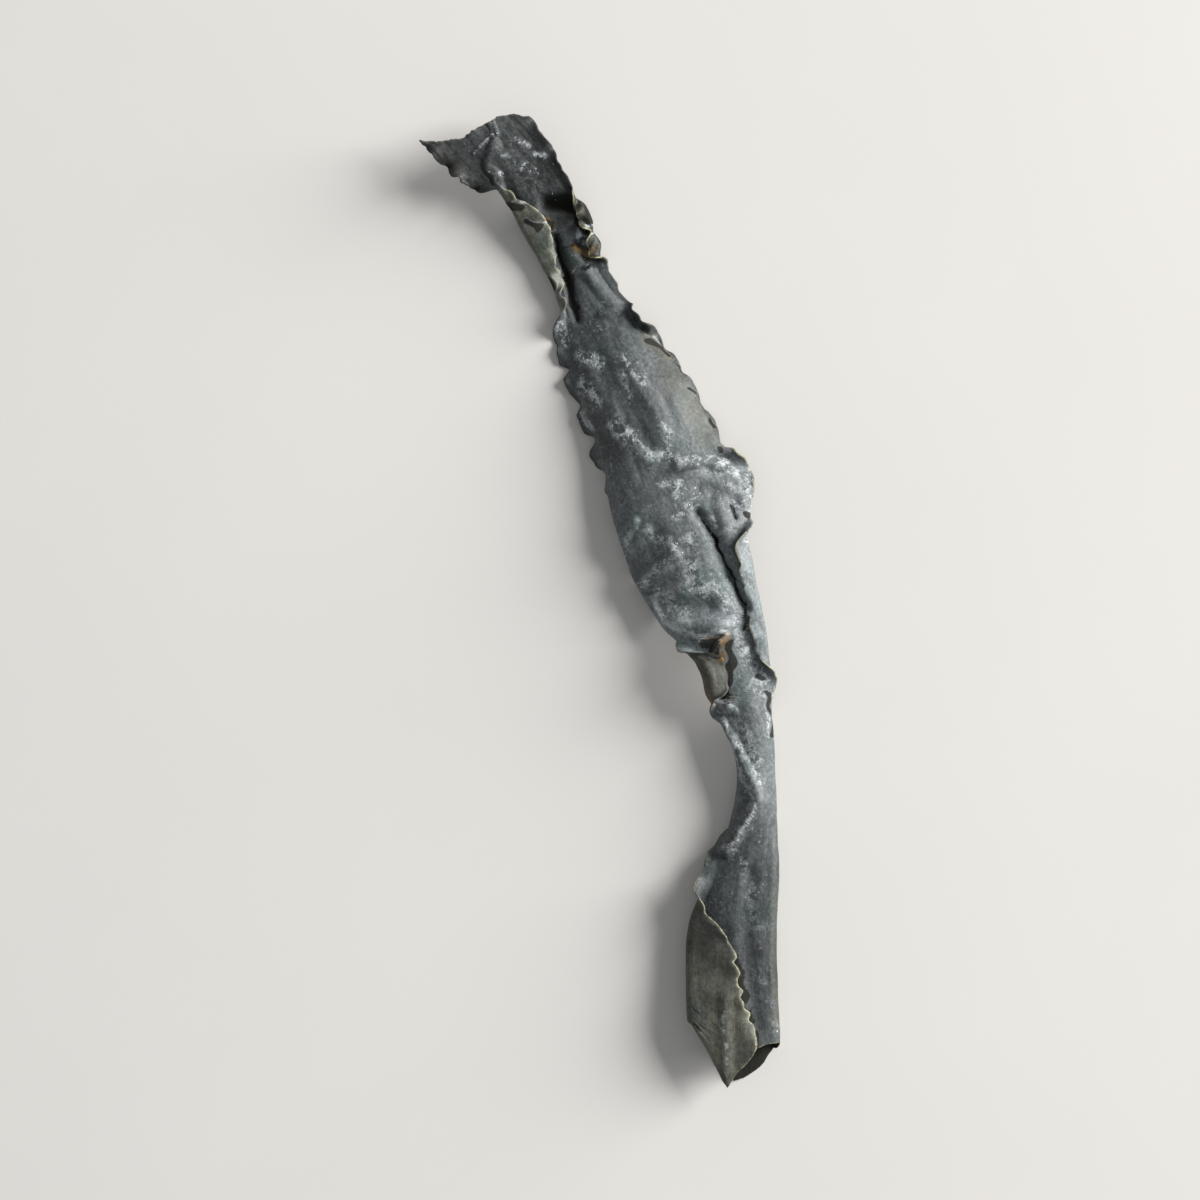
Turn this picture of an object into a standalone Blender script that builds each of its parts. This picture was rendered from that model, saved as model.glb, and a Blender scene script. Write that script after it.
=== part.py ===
"""One strip of dried kelp, lying on a flat surface with its smooth face up.

The strip is one thin wavy blade. It is described as a flat ribbon that is bent: the spine gives the
line that the ribbon follows, and at each place along it a cross-section is found by walking outwards
from the spine and turning as the blade turns. So the blade arches, its margins fold over or under,
and its thin edges ruffle, all without stretching. X runs to the right, Y up the strip and Z up.
"""

import collections
import math

import bmesh
import bpy
import numpy as np
from mathutils import Matrix, Vector, noise

MM = 0.001  # all the sizes below are in millimetres

BLADE_THICKNESS = 0.6
ROWS = 124  # of triangles along the strip
COLUMNS = 22  # of triangles across it
SECTION_STEP = 0.5  # between the cross-sections that the surface is read from
SECTION_POINTS = 70  # on each side of the spine
COLUMN_SPACING = 1.9  # of the columns on flat blade, as a share of which a fold counts
TURN_PER_COLUMN = 34.0  # degrees of fold that take up one column
ROW_SPACING = ((0, 1.1), (52, 1.25), (70, 1.6), (190, 1.65))  # closer where the ruffles are fine

# The spine in plan and its height, from the torn top end to the cut lower end.
SPINE = (
    (-25.4, 88.1, 9.4),
    (-12.9, 72.6, 3.6),
    (-4.6, 57.1, 1.1),
    (6.6, 34.3, 6.0),
    (15.8, 10.6, 7.8),
    (23.1, -9.9, 7.0),
    (27.8, -31.7, 5.6),
    (26.8, -42.6, 4.6),
    (23.6, -62.0, 4.0),
    (24.6, -88.4, 4.0),
)
SPINE_SMOOTHING = 12  # cross-sections on each side over which its bends are evened out

# One side of the blade, as tables that pair a distance along the spine with a value there: the width
# from the spine to where the margin starts, the margin's width, the direction that it is turned to (0
# lies flat outwards, 180 is folded over the blade and -180 under it), the radius of that turn, how far
# the blade slopes down where the margin starts, and how far the edge ruffles. Lengths are in
# millimetres and angles in degrees.
Side = collections.namedtuple("Side", "reach margin turn radius arch ruffle crest_start unevenness_seed")

LEFT = Side(
    reach=(
        (0, 5.9), (8, 5.6), (12, 4.6), (16, 3.4), (20, 3.3), (25, 3.6), (31, 3.4), (36, 3.2), (40, 3.9),
        (44, 5.2), (48, 6.6), (60, 8.4), (70, 9.4), (76, 10.9), (82, 11.6), (90, 11.8), (97, 10.8),
        (102, 9.4), (104.5, 8.2), (107, 6.3), (110, 4.0), (113, 3.7), (117, 4.2), (122, 4.6), (127, 3.6),
        (132, 3.2), (142, 3.4), (150, 3.6), (157, 6.2), (163, 7.0), (190, 7.2),
    ),
    margin=(
        (0, 3.4), (10, 3.6), (14, 3.4), (19, 4.4), (24.5, 7.2), (27.5, 6.8), (31, 5.6), (35, 4.4),
        (40, 4.2), (46, 3.4), (60, 3.8), (75, 5.0), (92, 6.0), (100, 5.0), (104, 3.2), (106, 2.4),
        (108.5, 6.8), (110.5, 9.0), (115.5, 8.6), (118.5, 2.6), (122, 2.4), (127, 3.4), (136, 3.2),
        (142, 3.8), (150, 4.0), (157.5, 5.0), (160, 8.6), (164, 11.4), (173, 13.3), (181, 15.3),
        (190, 15.3),
    ),
    turn=(
        (0, 10), (10, 0), (13, 15), (18.5, 165), (36, 168), (41, 100), (46, -10), (60, -44), (72, -75),
        (80, -115), (98, -140), (103.2, -110), (106.4, 0), (109.6, 195), (115.5, 200), (118.5, 40),
        (121, -50), (125, -155), (128, -182), (134, -182), (141, -130), (146, -25), (151, 0),
        (155.5, 90), (159, 165), (165, 175), (190, 177),
    ),
    radius=(
        (0, 0.9), (70, 1.2), (104, 1.3), (109, 1.8), (115, 1.8), (119, 1.2), (126, 0.85), (138, 0.85),
        (150, 1.2), (190, 1.4),
    ),
    arch=((0, 5), (20, 10), (45, 20), (60, 36), (90, 32), (110, 30), (130, 45), (150, 14), (190, 6)),
    ruffle=(
        (0, 45), (12, 60), (18, 30), (30, 15), (40, 35), (46, 45), (52, 52), (66, 50), (78, 28),
        (96, 15), (106, 50), (112, 10), (124, 4), (136, 5), (150, 50), (157, 15), (190, 8),
    ),
    crest_start=0.4,
    unevenness_seed=1.3,
)
RIGHT = Side(
    reach=(
        (0, 5.0), (12, 5.4), (20, 5.2), (24, 5.4), (26.4, 6.4), (29, 6.2), (31, 5.4), (33, 5.6),
        (36, 4.3), (43, 4.6), (46, 5.2), (50, 5.8), (54, 7.0), (60, 8.2), (70, 9.2), (75, 9.6),
        (78.5, 11.6), (81.5, 12.0), (85, 11.2), (89, 9.6), (93, 8.8), (100, 7.6), (108, 6.4), (114, 5.4),
        (119, 4.2), (124, 3.2), (132, 2.6), (142, 3.2), (152, 5.0), (163, 6.0), (190, 6.2),
    ),
    margin=(
        (0, 3.0), (12, 3.0), (22, 2.4), (26, 4.2), (29, 4.2), (30.6, 2.4), (32, 4.4), (34.5, 4.2),
        (37, 2.0), (44, 2.0), (47, 3.0), (49.5, 3.0), (53, 3.6), (60, 3.8), (74, 3.6), (78, 3.4),
        (88, 2.6), (92, 4.2), (108, 4.4), (114, 3.2), (118, 2.2), (124, 4.5), (132, 6.4), (142, 7.0),
        (150, 10.0), (163, 14.5), (190, 15.0),
    ),
    turn=(
        (0, 5), (12, 20), (20, 36), (24, 85), (26.2, 145), (28.8, 160), (30.6, 95), (32.2, 175),
        (34.2, 160), (37.4, -30), (43.5, -40), (47, 85), (49, 85), (51.5, -35), (54, -52), (74.5, -50),
        (77, 20), (79.5, -15), (88, -35), (90.5, 60), (93, 155), (108, 158), (113, 130), (117, 0),
        (121, -120), (126, -176), (190, -180),
    ),
    radius=((0, 0.9), (70, 0.9), (90, 0.8), (112, 0.8), (126, 1.5), (190, 1.5)),
    arch=(
        (0, 5), (20, 5), (45, 30), (58, 42), (69, 38), (77, 28), (110, 30), (130, 45), (150, 16),
        (190, 8),
    ),
    ruffle=(
        (0, 24), (8, 26), (19, 28), (23, 10), (34, 10), (37, 10), (46, 24), (52, 20), (68, 16), (74, 20),
        (79, 45), (88, 35), (93, 14), (104, 14), (117, 30), (126, 8), (190, 6),
    ),
    crest_start=3.1,
    unevenness_seed=4.7,
)
RUFFLE_BAND = 4.6  # width of the thin edge that ruffles
RUFFLE_FALL = 1.4  # how fast the ruffle dies away from the edge inwards
RUFFLE_LENGTH = ((0, 4.8), (40, 5.4), (52, 6.6), (190, 7.0))  # from one crest to the next
CREST_WANDER = 3.0  # how far the crests wander from an even spacing, in radians
WANDER_LENGTH, SIZE_LENGTH = 14.0, 9.0  # over which their spacing and their height change
SIZE_SPREAD = 0.5  # of their height, as a share
SECOND_CREST, SECOND_CREST_LAG, CREST_PEAK = 0.3, 1.0, 1.2  # the small crest that each one carries
LEAST_BEND = 1.5  # the shortest way on which a margin turns

# The ends: where the blade starts and stops along the spine, against the flat distance across it.
TOP_END = ((-9.3, 0.4), (-4.1, 4.2), (1.9, 5.5), (5.8, 7.0), (8.3, 9.2))
TOP_END_SECTION = 5.0  # the cross-section in which that distance is measured
LOWER_END = (
    (-22.5, 181.6), (-18.2, 186.6), (-16.9, 188.1), (-16.2, 187.0), (-11.8, 178.3), (-11.0, 176.8),
    (-7.5, 175.8), (-6.9, 176.5), (-3.2, 184.0), (-2.2, 186.2), (0.0, 185.4), (3.5, 181.8), (7.0, 181.0),
    (10.2, 181.8), (12.4, 184.6), (14.6, 186.4), (17.9, 187.6), (21.4, 181.0),
)
LOWER_END_SECTION = 184.0
TEAR_SIZE, TEAR_DEPTH = 2.2, 0.5  # the unevenness of the torn and cut ends
END_BLEND = 28.0  # over which the rows take on the slant of an end

# Wrinkles, each a raised or sunk line seen from above: the points that it runs through (along the
# spine, and across from it, left of it below 0), its half width and its height, sunk ones below 0.
WRINKLES = (
    (((22.8, 1.6), (25.0, 5.4)), 2.0, -2.0),
    (((28.5, -0.2), (43.5, -3.3)), 1.2, -1.1),
    (((33.0, 1.2), (44.0, 3.8)), 1.8, 0.6),
    (((31.5, 2.8), (42.0, 5.2)), 1.4, -0.6),
    (((45.0, 1.5), (46.0, 6.5)), 1.5, 0.6),
    (((52.0, -3.0), (70.0, -1.0)), 2.6, -0.4),
    (((56.0, 2.0), (76.0, 3.6)), 2.2, 0.35),
    (((75.0, 3.0), (76.0, 7.1), (77.8, 10.0)), 1.5, 1.0),
    (((80.5, 4.7), (84.8, 9.1)), 2.6, -0.6),
    (((84.5, 3.0), (90.5, 4.3), (97.0, 4.4), (103.2, 5.2)), 1.4, -1.2),
    (((84.0, 7.4), (97.0, 6.8)), 1.9, 0.8),
    (((84.8, -12.0), (81.8, -8.1)), 1.3, 1.0),
    (((88.5, -11.0), (86.0, -5.0)), 2.4, -0.8),
    (((92.8, -11.9), (90.0, -3.4)), 1.8, 1.4),
    (((98.0, -8.5), (100.5, -0.7)), 2.4, -1.5),
    (((102.0, -8.0), (105.0, 0.4)), 1.6, 1.0),
    (((117.5, -4.9), (120.0, -2.2)), 1.0, 0.6),
    (((121.5, -5.2), (130.2, -2.3), (137.0, 0.8), (140.0, -1.1), (146.8, -4.2)), 1.6, 1.3),
    (((150.0, 1.0), (178.0, 3.6)), 2.2, -0.5),
    (((172.0, -1.5), (186.0, -2.0)), 1.4, 0.6),
)
PUCKER_SIZE, PUCKER_HEIGHT = 11.0, 0.5  # the broad unevenness of the dried blade
RIPPLE_LENGTH, RIPPLE_WIDTH, RIPPLE_HEIGHT = 22.0, 3.6, 0.28  # finer ripples, drawn out along the strip
TOP_TEAR_SEED, LOWER_TEAR_SEED, PUCKER_SEED, RIPPLE_SEED, SIZE_SEED = 3.0, 5.0, 2.5, 8.1, 7.0

KELP_COLOUR = (0.105, 0.118, 0.119, 1.0)
KELP_ROUGHNESS = 0.72


def keyed(keys, at):
    """The table's value at each distance in at, by a smooth curve that never overshoots its keys."""
    x, y = np.array(keys, float).T
    step = np.diff(x)
    slope = np.diff(y) / step
    tangent = np.zeros(len(x))
    same_way = slope[:-1] * slope[1:] > 0
    near, far = step[:-1] + 2 * step[1:], 2 * step[:-1] + step[1:]
    with np.errstate(divide="ignore", invalid="ignore"):
        mean = (near + far) / (near / slope[:-1] + far / slope[1:])
    tangent[1:-1] = np.where(same_way, mean, 0.0)
    tangent[0], tangent[-1] = slope[0], slope[-1]
    at = np.clip(at, x[0], x[-1])
    i = np.clip(np.searchsorted(x, at) - 1, 0, len(step) - 1)
    t = (at - x[i]) / step[i]
    return (
        y[i] * (1 + 2 * t) * (1 - t) ** 2
        + y[i + 1] * t**2 * (3 - 2 * t)
        + step[i] * (tangent[i] * t * (1 - t) ** 2 + tangent[i + 1] * t**2 * (t - 1))
    )


def unit(vectors):
    return vectors / np.linalg.norm(vectors, axis=-1, keepdims=True)


def spine_length():
    return sum(math.dist(a[:2], b[:2]) for a, b in zip(SPINE, SPINE[1:]))


def spine_frame(along):
    """The spine's points, and the directions across it and up from the blade, at each distance along it."""
    points = np.array(SPINE)
    chords = np.linalg.norm(np.diff(points[:, :2], axis=0), axis=1)
    at = np.concatenate([[0], np.cumsum(chords)])
    centre = np.stack([keyed(list(zip(at, points[:, k])), along) for k in range(3)], axis=1)
    reach = SPINE_SMOOTHING
    kernel = np.hanning(2 * reach + 1)
    kernel /= kernel.sum()
    before = 2 * centre[:1] - centre[reach:0:-1]
    after = 2 * centre[-1:] - centre[-2:-2 - reach:-1]
    padded = np.concatenate([before, centre, after])
    centre = np.stack([np.convolve(padded[:, k], kernel, mode="valid") for k in range(3)], axis=1)
    heading = unit(np.gradient(centre, axis=0))
    across = unit(np.cross([0, 0, 1], heading))
    return centre, across, np.cross(heading, across)


def ruffle_wave(along, side):
    """The ruffle of one edge, about from -1 to 1, with crests that are uneven in spacing and height."""
    seed = side.unevenness_seed
    wander = np.array([noise.noise(Vector((s / WANDER_LENGTH, seed, 0))) for s in along])
    size = np.array([noise.noise(Vector((s / SIZE_LENGTH, seed, SIZE_SEED))) for s in along])
    crests = np.cumsum(np.gradient(along) / keyed(RUFFLE_LENGTH, along))
    phase = 2 * math.pi * crests + side.crest_start + CREST_WANDER * wander
    wave = np.sin(phase) + SECOND_CREST * np.sin(2 * phase + SECOND_CREST_LAG)
    return wave / CREST_PEAK * (1 + SIZE_SPREAD * size)


def half_section(along, side):
    """One side of every cross-section: distance across, height, flat distance and fold so far."""
    reach, margin = keyed(side.reach, along)[:, None], keyed(side.margin, along)[:, None]
    turn, arch = np.radians(keyed(side.turn, along))[:, None], np.radians(keyed(side.arch, along))[:, None]
    swing = np.radians(keyed(side.ruffle, along) * ruffle_wave(along, side))[:, None]
    full = reach + margin
    flat = np.linspace(0, 1, SECTION_POINTS)[None, :] * full
    bend = np.maximum(np.abs(turn) * keyed(side.radius, along)[:, None], LEAST_BEND)
    folded = np.clip((flat - reach) / bend, 0, 1)
    edge = np.clip(1 - (full - flat) / np.minimum(RUFFLE_BAND, margin), 0, 1)
    slope = -arch * np.clip(flat / reach, 0, 1)
    angle = slope * (1 - folded) + turn * folded + swing * edge**RUFFLE_FALL
    step = np.diff(flat, axis=1)
    middle = (angle[:, 1:] + angle[:, :-1]) / 2
    at_spine = np.zeros((len(along), 1))
    across = np.concatenate([at_spine, np.cumsum(np.cos(middle) * step, axis=1)], axis=1)
    height = np.concatenate([at_spine, np.cumsum(np.sin(middle) * step, axis=1)], axis=1)
    return across, height, flat, np.abs(turn) * folded


def cross_sections(along):
    """Points of the bent blade in columns from its left edge to its right edge, with their distance
    across in plan and on the flat blade."""
    across, height, flat, fold = (
        np.concatenate([sign * left[:, :0:-1], right], axis=1)
        for sign, left, right in zip((-1, 1, -1, -1), half_section(along, LEFT), half_section(along, RIGHT))
    )
    used = flat / COLUMN_SPACING + np.degrees(fold) / TURN_PER_COLUMN
    columns = np.linspace(0, 1, COLUMNS + 1)
    picked = []
    for a, h, f, u in zip(across, height, flat, used):
        at = u[0] + (u[-1] - u[0]) * columns
        picked.append([np.interp(at, u, row) for row in (a, h, f)])
    across, height, flat = np.array(picked).transpose(1, 0, 2)
    centre, sideways, up = spine_frame(along)
    points = (
        centre[:, None, :]
        + across[:, :, None] * sideways[:, None, :]
        + height[:, :, None] * up[:, None, :]
    )
    return points, across, flat


def distance_to_line(place, start, end):
    line = end - start
    share = min(1, max(0, (place - start).dot(line) / line.length_squared))
    return (place - start - share * line).length


def relief(along, across):
    """How far the dried surface is lifted at one place in plan, for all the layers there alike."""
    pucker = Vector((along / PUCKER_SIZE, across / PUCKER_SIZE, PUCKER_SEED))
    ripple = Vector((along / RIPPLE_LENGTH, across / RIPPLE_WIDTH, RIPPLE_SEED))
    height = PUCKER_HEIGHT * noise.noise(pucker) + RIPPLE_HEIGHT * noise.noise(ripple)
    place = Vector((along, across))
    for path, half_width, rise in WRINKLES:
        away = min(distance_to_line(place, Vector(a), Vector(b)) for a, b in zip(path, path[1:]))
        height += rise * max(0, 1 - (away / half_width) ** 2) ** 2
    return height


def torn(flat, seed):
    return TEAR_DEPTH * noise.noise(Vector((flat / TEAR_SIZE, seed, 0)))


def sampled(grid, rows):
    """Each column of the grid read at its own fractional row numbers."""
    low = np.clip(np.floor(rows).astype(int), 0, grid.shape[0] - 2)
    column = np.arange(grid.shape[1])[None, :]
    share = rows - low
    if grid.ndim == 3:
        share = share[:, :, None]
    return grid[low, column] * (1 - share) + grid[low + 1, column] * share


def row_places(first, last):
    """Where each row crosses each column, from one end to the other, with rows closer where the
    ruffles are fine. The rows run straight across but for their slant near the ends."""
    place = np.arange(first.mean(), last.mean(), SECTION_STEP)
    rows = np.cumsum(1 / keyed(ROW_SPACING, place))
    even = np.interp(np.linspace(rows[0], rows[-1], ROWS + 1), rows, place)[:, None]
    from_top = np.clip(1 - (even - even[0]) / END_BLEND, 0, 1) ** 2
    from_foot = np.clip(1 - (even[-1] - even) / END_BLEND, 0, 1) ** 2
    return even + (first - even[0]) * from_top + (last - even[-1]) * from_foot


def blade_points():
    """The middle surface of the blade, as a grid of points from the torn end to the cut end."""
    along = np.arange(0, spine_length(), SECTION_STEP)
    points, across, flat = cross_sections(along)
    first = keyed(TOP_END, flat[int(TOP_END_SECTION / SECTION_STEP)])
    last = keyed(LOWER_END, flat[int(LOWER_END_SECTION / SECTION_STEP)])
    first += [torn(f, TOP_TEAR_SEED) for f in flat[0]]
    last += [torn(f, LOWER_TEAR_SEED) for f in flat[-1]]
    place = row_places(first, last)
    rows = place / SECTION_STEP
    bent = sampled(points, rows)
    bent[:, :, 2] += np.vectorize(relief)(place, sampled(across, rows))
    bent[:, :, 2] = np.maximum(bent[:, :, 2], BLADE_THICKNESS / 2)
    return bent


def kelp_material():
    material = bpy.data.materials.new("dried_kelp")
    material.use_nodes = True
    surface = material.node_tree.nodes["Principled BSDF"]
    surface.inputs["Base Color"].default_value = KELP_COLOUR
    surface.inputs["Roughness"].default_value = KELP_ROUGHNESS
    surface.inputs["Metallic"].default_value = 0.0
    return material


def blade_mesh():
    """The grid as a mesh of triangles, each cell split along its shorter diagonal."""
    grid = blade_points()
    rows, columns = grid.shape[:2]
    shape = bmesh.new()
    corners = [[shape.verts.new(point * MM) for point in row] for row in grid]
    for i in range(rows - 1):
        for j in range(columns - 1):
            a, b = corners[i][j], corners[i][j + 1]
            d, c = corners[i + 1][j], corners[i + 1][j + 1]
            if (a.co - c.co).length < (b.co - d.co).length:
                shape.faces.new((a, d, c))
                shape.faces.new((a, c, b))
            else:
                shape.faces.new((a, d, b))
                shape.faces.new((b, d, c))
    mesh = bpy.data.meshes.new("kelp_strip")
    shape.to_mesh(mesh)
    shape.free()
    mesh.shade_smooth()
    return mesh


def stand_on_origin(strip):
    """Moves the shape so that the middle of its underside's box is at the origin."""
    bpy.context.view_layer.update()
    evaluated = strip.evaluated_get(bpy.context.evaluated_depsgraph_get())
    box = np.array([corner[:] for corner in evaluated.bound_box])
    low, high = box.min(axis=0), box.max(axis=0)
    middle = Vector(((low[0] + high[0]) / 2, (low[1] + high[1]) / 2, low[2]))
    strip.data.transform(Matrix.Translation(-middle))


def kelp_strip():
    """The blade, thickened to both sides alike."""
    mesh = blade_mesh()
    mesh.materials.append(kelp_material())
    strip = bpy.data.objects.new("kelp_strip", mesh)
    bpy.context.scene.collection.objects.link(strip)
    wall = strip.modifiers.new("thickness", "SOLIDIFY")
    wall.thickness = BLADE_THICKNESS * MM
    wall.offset = 0
    stand_on_origin(strip)
    return strip


def main():
    for old in list(bpy.data.objects):
        bpy.data.objects.remove(old)
    kelp_strip()


main()
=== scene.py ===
"""The look of one strip of dried kelp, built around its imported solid.

The blade is made again as a fine mesh, by the rules that bend the solid: a spine, and at each place
along it a cross-section found by walking outwards and turning as the blade turns. The fine mesh adds
nicked edges, small curls and the wrinkles of drying. Salt bloom is scattered over it as flakes.
The tables hold millimetres and degrees. The settings of the sidebar and of the stage hold metres.
"""

import collections
import math

import bpy
import numpy as np
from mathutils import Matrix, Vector, noise


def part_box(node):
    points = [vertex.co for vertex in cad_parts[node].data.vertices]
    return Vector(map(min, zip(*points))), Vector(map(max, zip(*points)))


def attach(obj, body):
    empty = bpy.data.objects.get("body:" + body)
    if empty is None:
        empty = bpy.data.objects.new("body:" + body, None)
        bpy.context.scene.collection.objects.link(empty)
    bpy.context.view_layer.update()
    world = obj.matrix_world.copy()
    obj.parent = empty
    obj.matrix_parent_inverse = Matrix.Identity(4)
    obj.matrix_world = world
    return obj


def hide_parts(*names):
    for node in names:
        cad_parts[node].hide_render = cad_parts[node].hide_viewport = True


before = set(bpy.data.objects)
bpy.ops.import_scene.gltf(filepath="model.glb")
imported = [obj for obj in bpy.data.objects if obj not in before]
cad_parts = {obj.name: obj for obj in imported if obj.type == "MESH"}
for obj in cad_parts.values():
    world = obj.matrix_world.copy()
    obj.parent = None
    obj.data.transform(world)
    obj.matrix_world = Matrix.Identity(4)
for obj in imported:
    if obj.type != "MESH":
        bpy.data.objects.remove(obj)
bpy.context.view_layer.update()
SOLID = "kelp_strip"

bl_info = {
    "name": "Dried kelp strip",
    "version": (1, 0, 0),
    "blender": (4, 5, 0),
    "location": "3D View > Sidebar > Kelp",
    "description": "Builds a strip of dried kelp with its salt bloom, and a pale table to show it on",
    "category": "Object",
}

MM = 0.001

# The form that the fine blade shares with the solid.
SECTION_STEP = 0.25  # between the cross-sections that the surface is read from
SECTION_POINTS = 150  # on each side of the spine
COLUMN_SPACING = 1.9  # this much flat blade takes as many columns as
TURN_PER_COLUMN = 34.0  # this many degrees of fold
ROW_SPACING = ((0, 1.1), (52, 1.25), (70, 1.6), (190, 1.65))  # closer where the ruffles are fine
SPINE = (
    (-25.4, 88.1, 9.4),
    (-12.9, 72.6, 3.6),
    (-4.6, 57.1, 1.1),
    (6.6, 34.3, 6.0),
    (15.8, 10.6, 7.8),
    (23.1, -9.9, 7.0),
    (27.8, -31.7, 5.6),
    (26.8, -42.6, 4.6),
    (23.6, -62.0, 4.0),
    (24.6, -88.4, 4.0),
)
SPINE_SMOOTHING = 24  # cross-sections on each side over which its bends are evened out

# One side of the blade, as tables that pair a distance along the spine with a value there: the width
# from the spine to where the margin starts, the margin's width, the direction that it is turned to (0
# lies flat outwards, 180 is folded over the blade and -180 under it), the radius of that turn, how far
# the blade slopes down where the margin starts, how far the edge ruffles, how deep its nicks are and
# how pale its rim is, from -1 for dark to 1 for pale. Then come the phase that its ruffle starts at, in
# radians, and the seed of its unevenness.
Side = collections.namedtuple(
    "Side", "reach margin turn radius arch ruffle nicks rim crest_start unevenness_seed"
)

LEFT = Side(
    reach=(
        (0, 5.9), (8, 5.6), (12, 4.6), (16, 3.4), (20, 3.3), (25, 3.6), (31, 3.4), (36, 3.2), (40, 3.9),
        (44, 5.2), (48, 6.6), (60, 8.4), (70, 9.4), (76, 10.9), (82, 11.6), (90, 11.8), (97, 10.8),
        (102, 9.4), (104.5, 8.2), (107, 6.3), (110, 4.0), (113, 3.7), (117, 4.2), (122, 4.6), (127, 3.6),
        (132, 3.2), (142, 3.4), (150, 3.6), (157, 6.2), (163, 7.0), (190, 7.2),
    ),
    margin=(
        (0, 3.4), (10, 3.6), (14, 3.4), (19, 4.4), (24.5, 7.2), (27.5, 6.8), (31, 5.6), (35, 4.4),
        (40, 4.2), (46, 3.4), (60, 3.8), (75, 5.0), (92, 6.0), (100, 5.0), (104, 3.2), (106, 2.4),
        (108.5, 6.8), (110.5, 9.0), (115.5, 8.6), (118.5, 2.6), (122, 2.4), (127, 3.4), (136, 3.2),
        (142, 3.8), (150, 4.0), (157.5, 5.0), (160, 8.6), (164, 11.4), (173, 13.3), (181, 15.3),
        (190, 15.3),
    ),
    turn=(
        (0, 10), (10, 0), (13, 15), (18.5, 165), (36, 168), (41, 100), (46, -10), (60, -44), (72, -75),
        (80, -115), (98, -140), (103.2, -110), (106.4, 0), (109.6, 195), (115.5, 200), (118.5, 40),
        (121, -50), (125, -155), (128, -182), (134, -182), (141, -130), (146, -25), (151, 0),
        (155.5, 90), (159, 165), (165, 175), (190, 177),
    ),
    radius=(
        (0, 0.9), (70, 1.2), (104, 1.3), (109, 1.8), (115, 1.8), (119, 1.2), (126, 0.85), (138, 0.85),
        (150, 1.2), (190, 1.4),
    ),
    arch=((0, 5), (20, 10), (45, 20), (60, 36), (90, 32), (110, 30), (130, 45), (150, 14), (190, 6)),
    ruffle=(
        (0, 45), (12, 60), (18, 30), (30, 15), (40, 35), (46, 45), (52, 52), (66, 50), (78, 28),
        (96, 15), (106, 50), (112, 10), (124, 4), (136, 5), (150, 50), (157, 15), (190, 8),
    ),
    nicks=(
        (0, 0.9), (16, 0.9), (20, 0.4), (44, 0.6), (66, 0.6), (100, 0.4), (108, 0.3), (150, 0.4),
        (160, 0.5), (165, 1.4), (175, 1.3), (180, 0.4), (190, 0.1),
    ),
    rim=(
        (0, -0.7), (12, -0.5), (17, 0.4), (26, 0.5), (32, 0.3), (38, 0.3), (44, -0.6), (96, -0.7),
        (101, 0.6), (105.5, 1.0), (107, 0.8), (108, 0.0), (117, -0.4), (119, 0.3), (126, 0.2),
        (145, 0.3), (156, 0.5), (190, 0.65),
    ),
    crest_start=0.4,
    unevenness_seed=1.3,
)
RIGHT = Side(
    reach=(
        (0, 5.0), (12, 5.4), (20, 5.2), (24, 5.4), (26.4, 6.4), (29, 6.2), (31, 5.4), (33, 5.6),
        (36, 4.3), (43, 4.6), (46, 5.2), (50, 5.8), (54, 7.0), (60, 8.2), (70, 9.2), (75, 9.6),
        (78.5, 11.6), (81.5, 12.0), (85, 11.2), (89, 9.6), (93, 8.8), (100, 7.6), (108, 6.4), (114, 5.4),
        (119, 4.2), (124, 3.2), (132, 2.6), (142, 3.2), (152, 5.0), (163, 6.0), (190, 6.2),
    ),
    margin=(
        (0, 3.0), (12, 3.0), (22, 2.4), (26, 4.2), (29, 4.2), (30.6, 2.4), (32, 4.4), (34.5, 4.2),
        (37, 2.0), (44, 2.0), (47, 3.0), (49.5, 3.0), (53, 3.6), (60, 3.8), (74, 3.6), (78, 3.4),
        (88, 2.6), (92, 4.2), (108, 4.4), (114, 3.2), (118, 2.2), (124, 4.5), (132, 6.4), (142, 7.0),
        (150, 10.0), (163, 14.5), (190, 15.0),
    ),
    turn=(
        (0, 5), (12, 20), (20, 36), (24, 85), (26.2, 145), (28.8, 160), (30.6, 95), (32.2, 175),
        (34.2, 160), (37.4, -30), (43.5, -40), (47, 85), (49, 85), (51.5, -35), (54, -52), (74.5, -50),
        (77, 20), (79.5, -15), (88, -35), (90.5, 60), (93, 155), (108, 158), (113, 130), (117, 0),
        (121, -120), (126, -176), (190, -180),
    ),
    radius=((0, 0.9), (70, 0.9), (90, 0.8), (112, 0.8), (126, 1.5), (190, 1.5)),
    arch=(
        (0, 5), (20, 5), (45, 30), (58, 42), (69, 38), (77, 28), (110, 30), (130, 45), (150, 16),
        (190, 8),
    ),
    ruffle=(
        (0, 24), (8, 26), (19, 28), (23, 10), (34, 10), (37, 10), (46, 24), (52, 20), (68, 16), (74, 20),
        (79, 45), (88, 35), (93, 14), (104, 14), (117, 30), (126, 8), (190, 6),
    ),
    nicks=((0, 0.4), (30, 0.5), (60, 0.4), (74, 0.8), (92, 0.8), (108, 0.6), (126, 0.2), (190, 0.2)),
    rim=(
        (0, -0.5), (20, -0.4), (25, 1.0), (34.5, 1.0), (38, 0.1), (52, -0.5), (71, -0.6), (74, 0.7),
        (92, 0.5), (108, 0.6), (116, 0.7), (126, 0.6), (132, 0.2), (150, 0.2), (156, -0.6), (190, -0.6),
    ),
    crest_start=3.1,
    unevenness_seed=4.7,
)
RUFFLE_BAND = 4.6  # width of the thin edge that ruffles
RUFFLE_FALL = 1.4  # how fast the ruffle dies away from the edge inwards
RUFFLE_LENGTH = ((0, 4.8), (40, 5.4), (52, 6.6), (190, 7.0))  # from one crest to the next
CREST_WANDER = 3.0  # how far the crests wander from an even spacing, in radians
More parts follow.
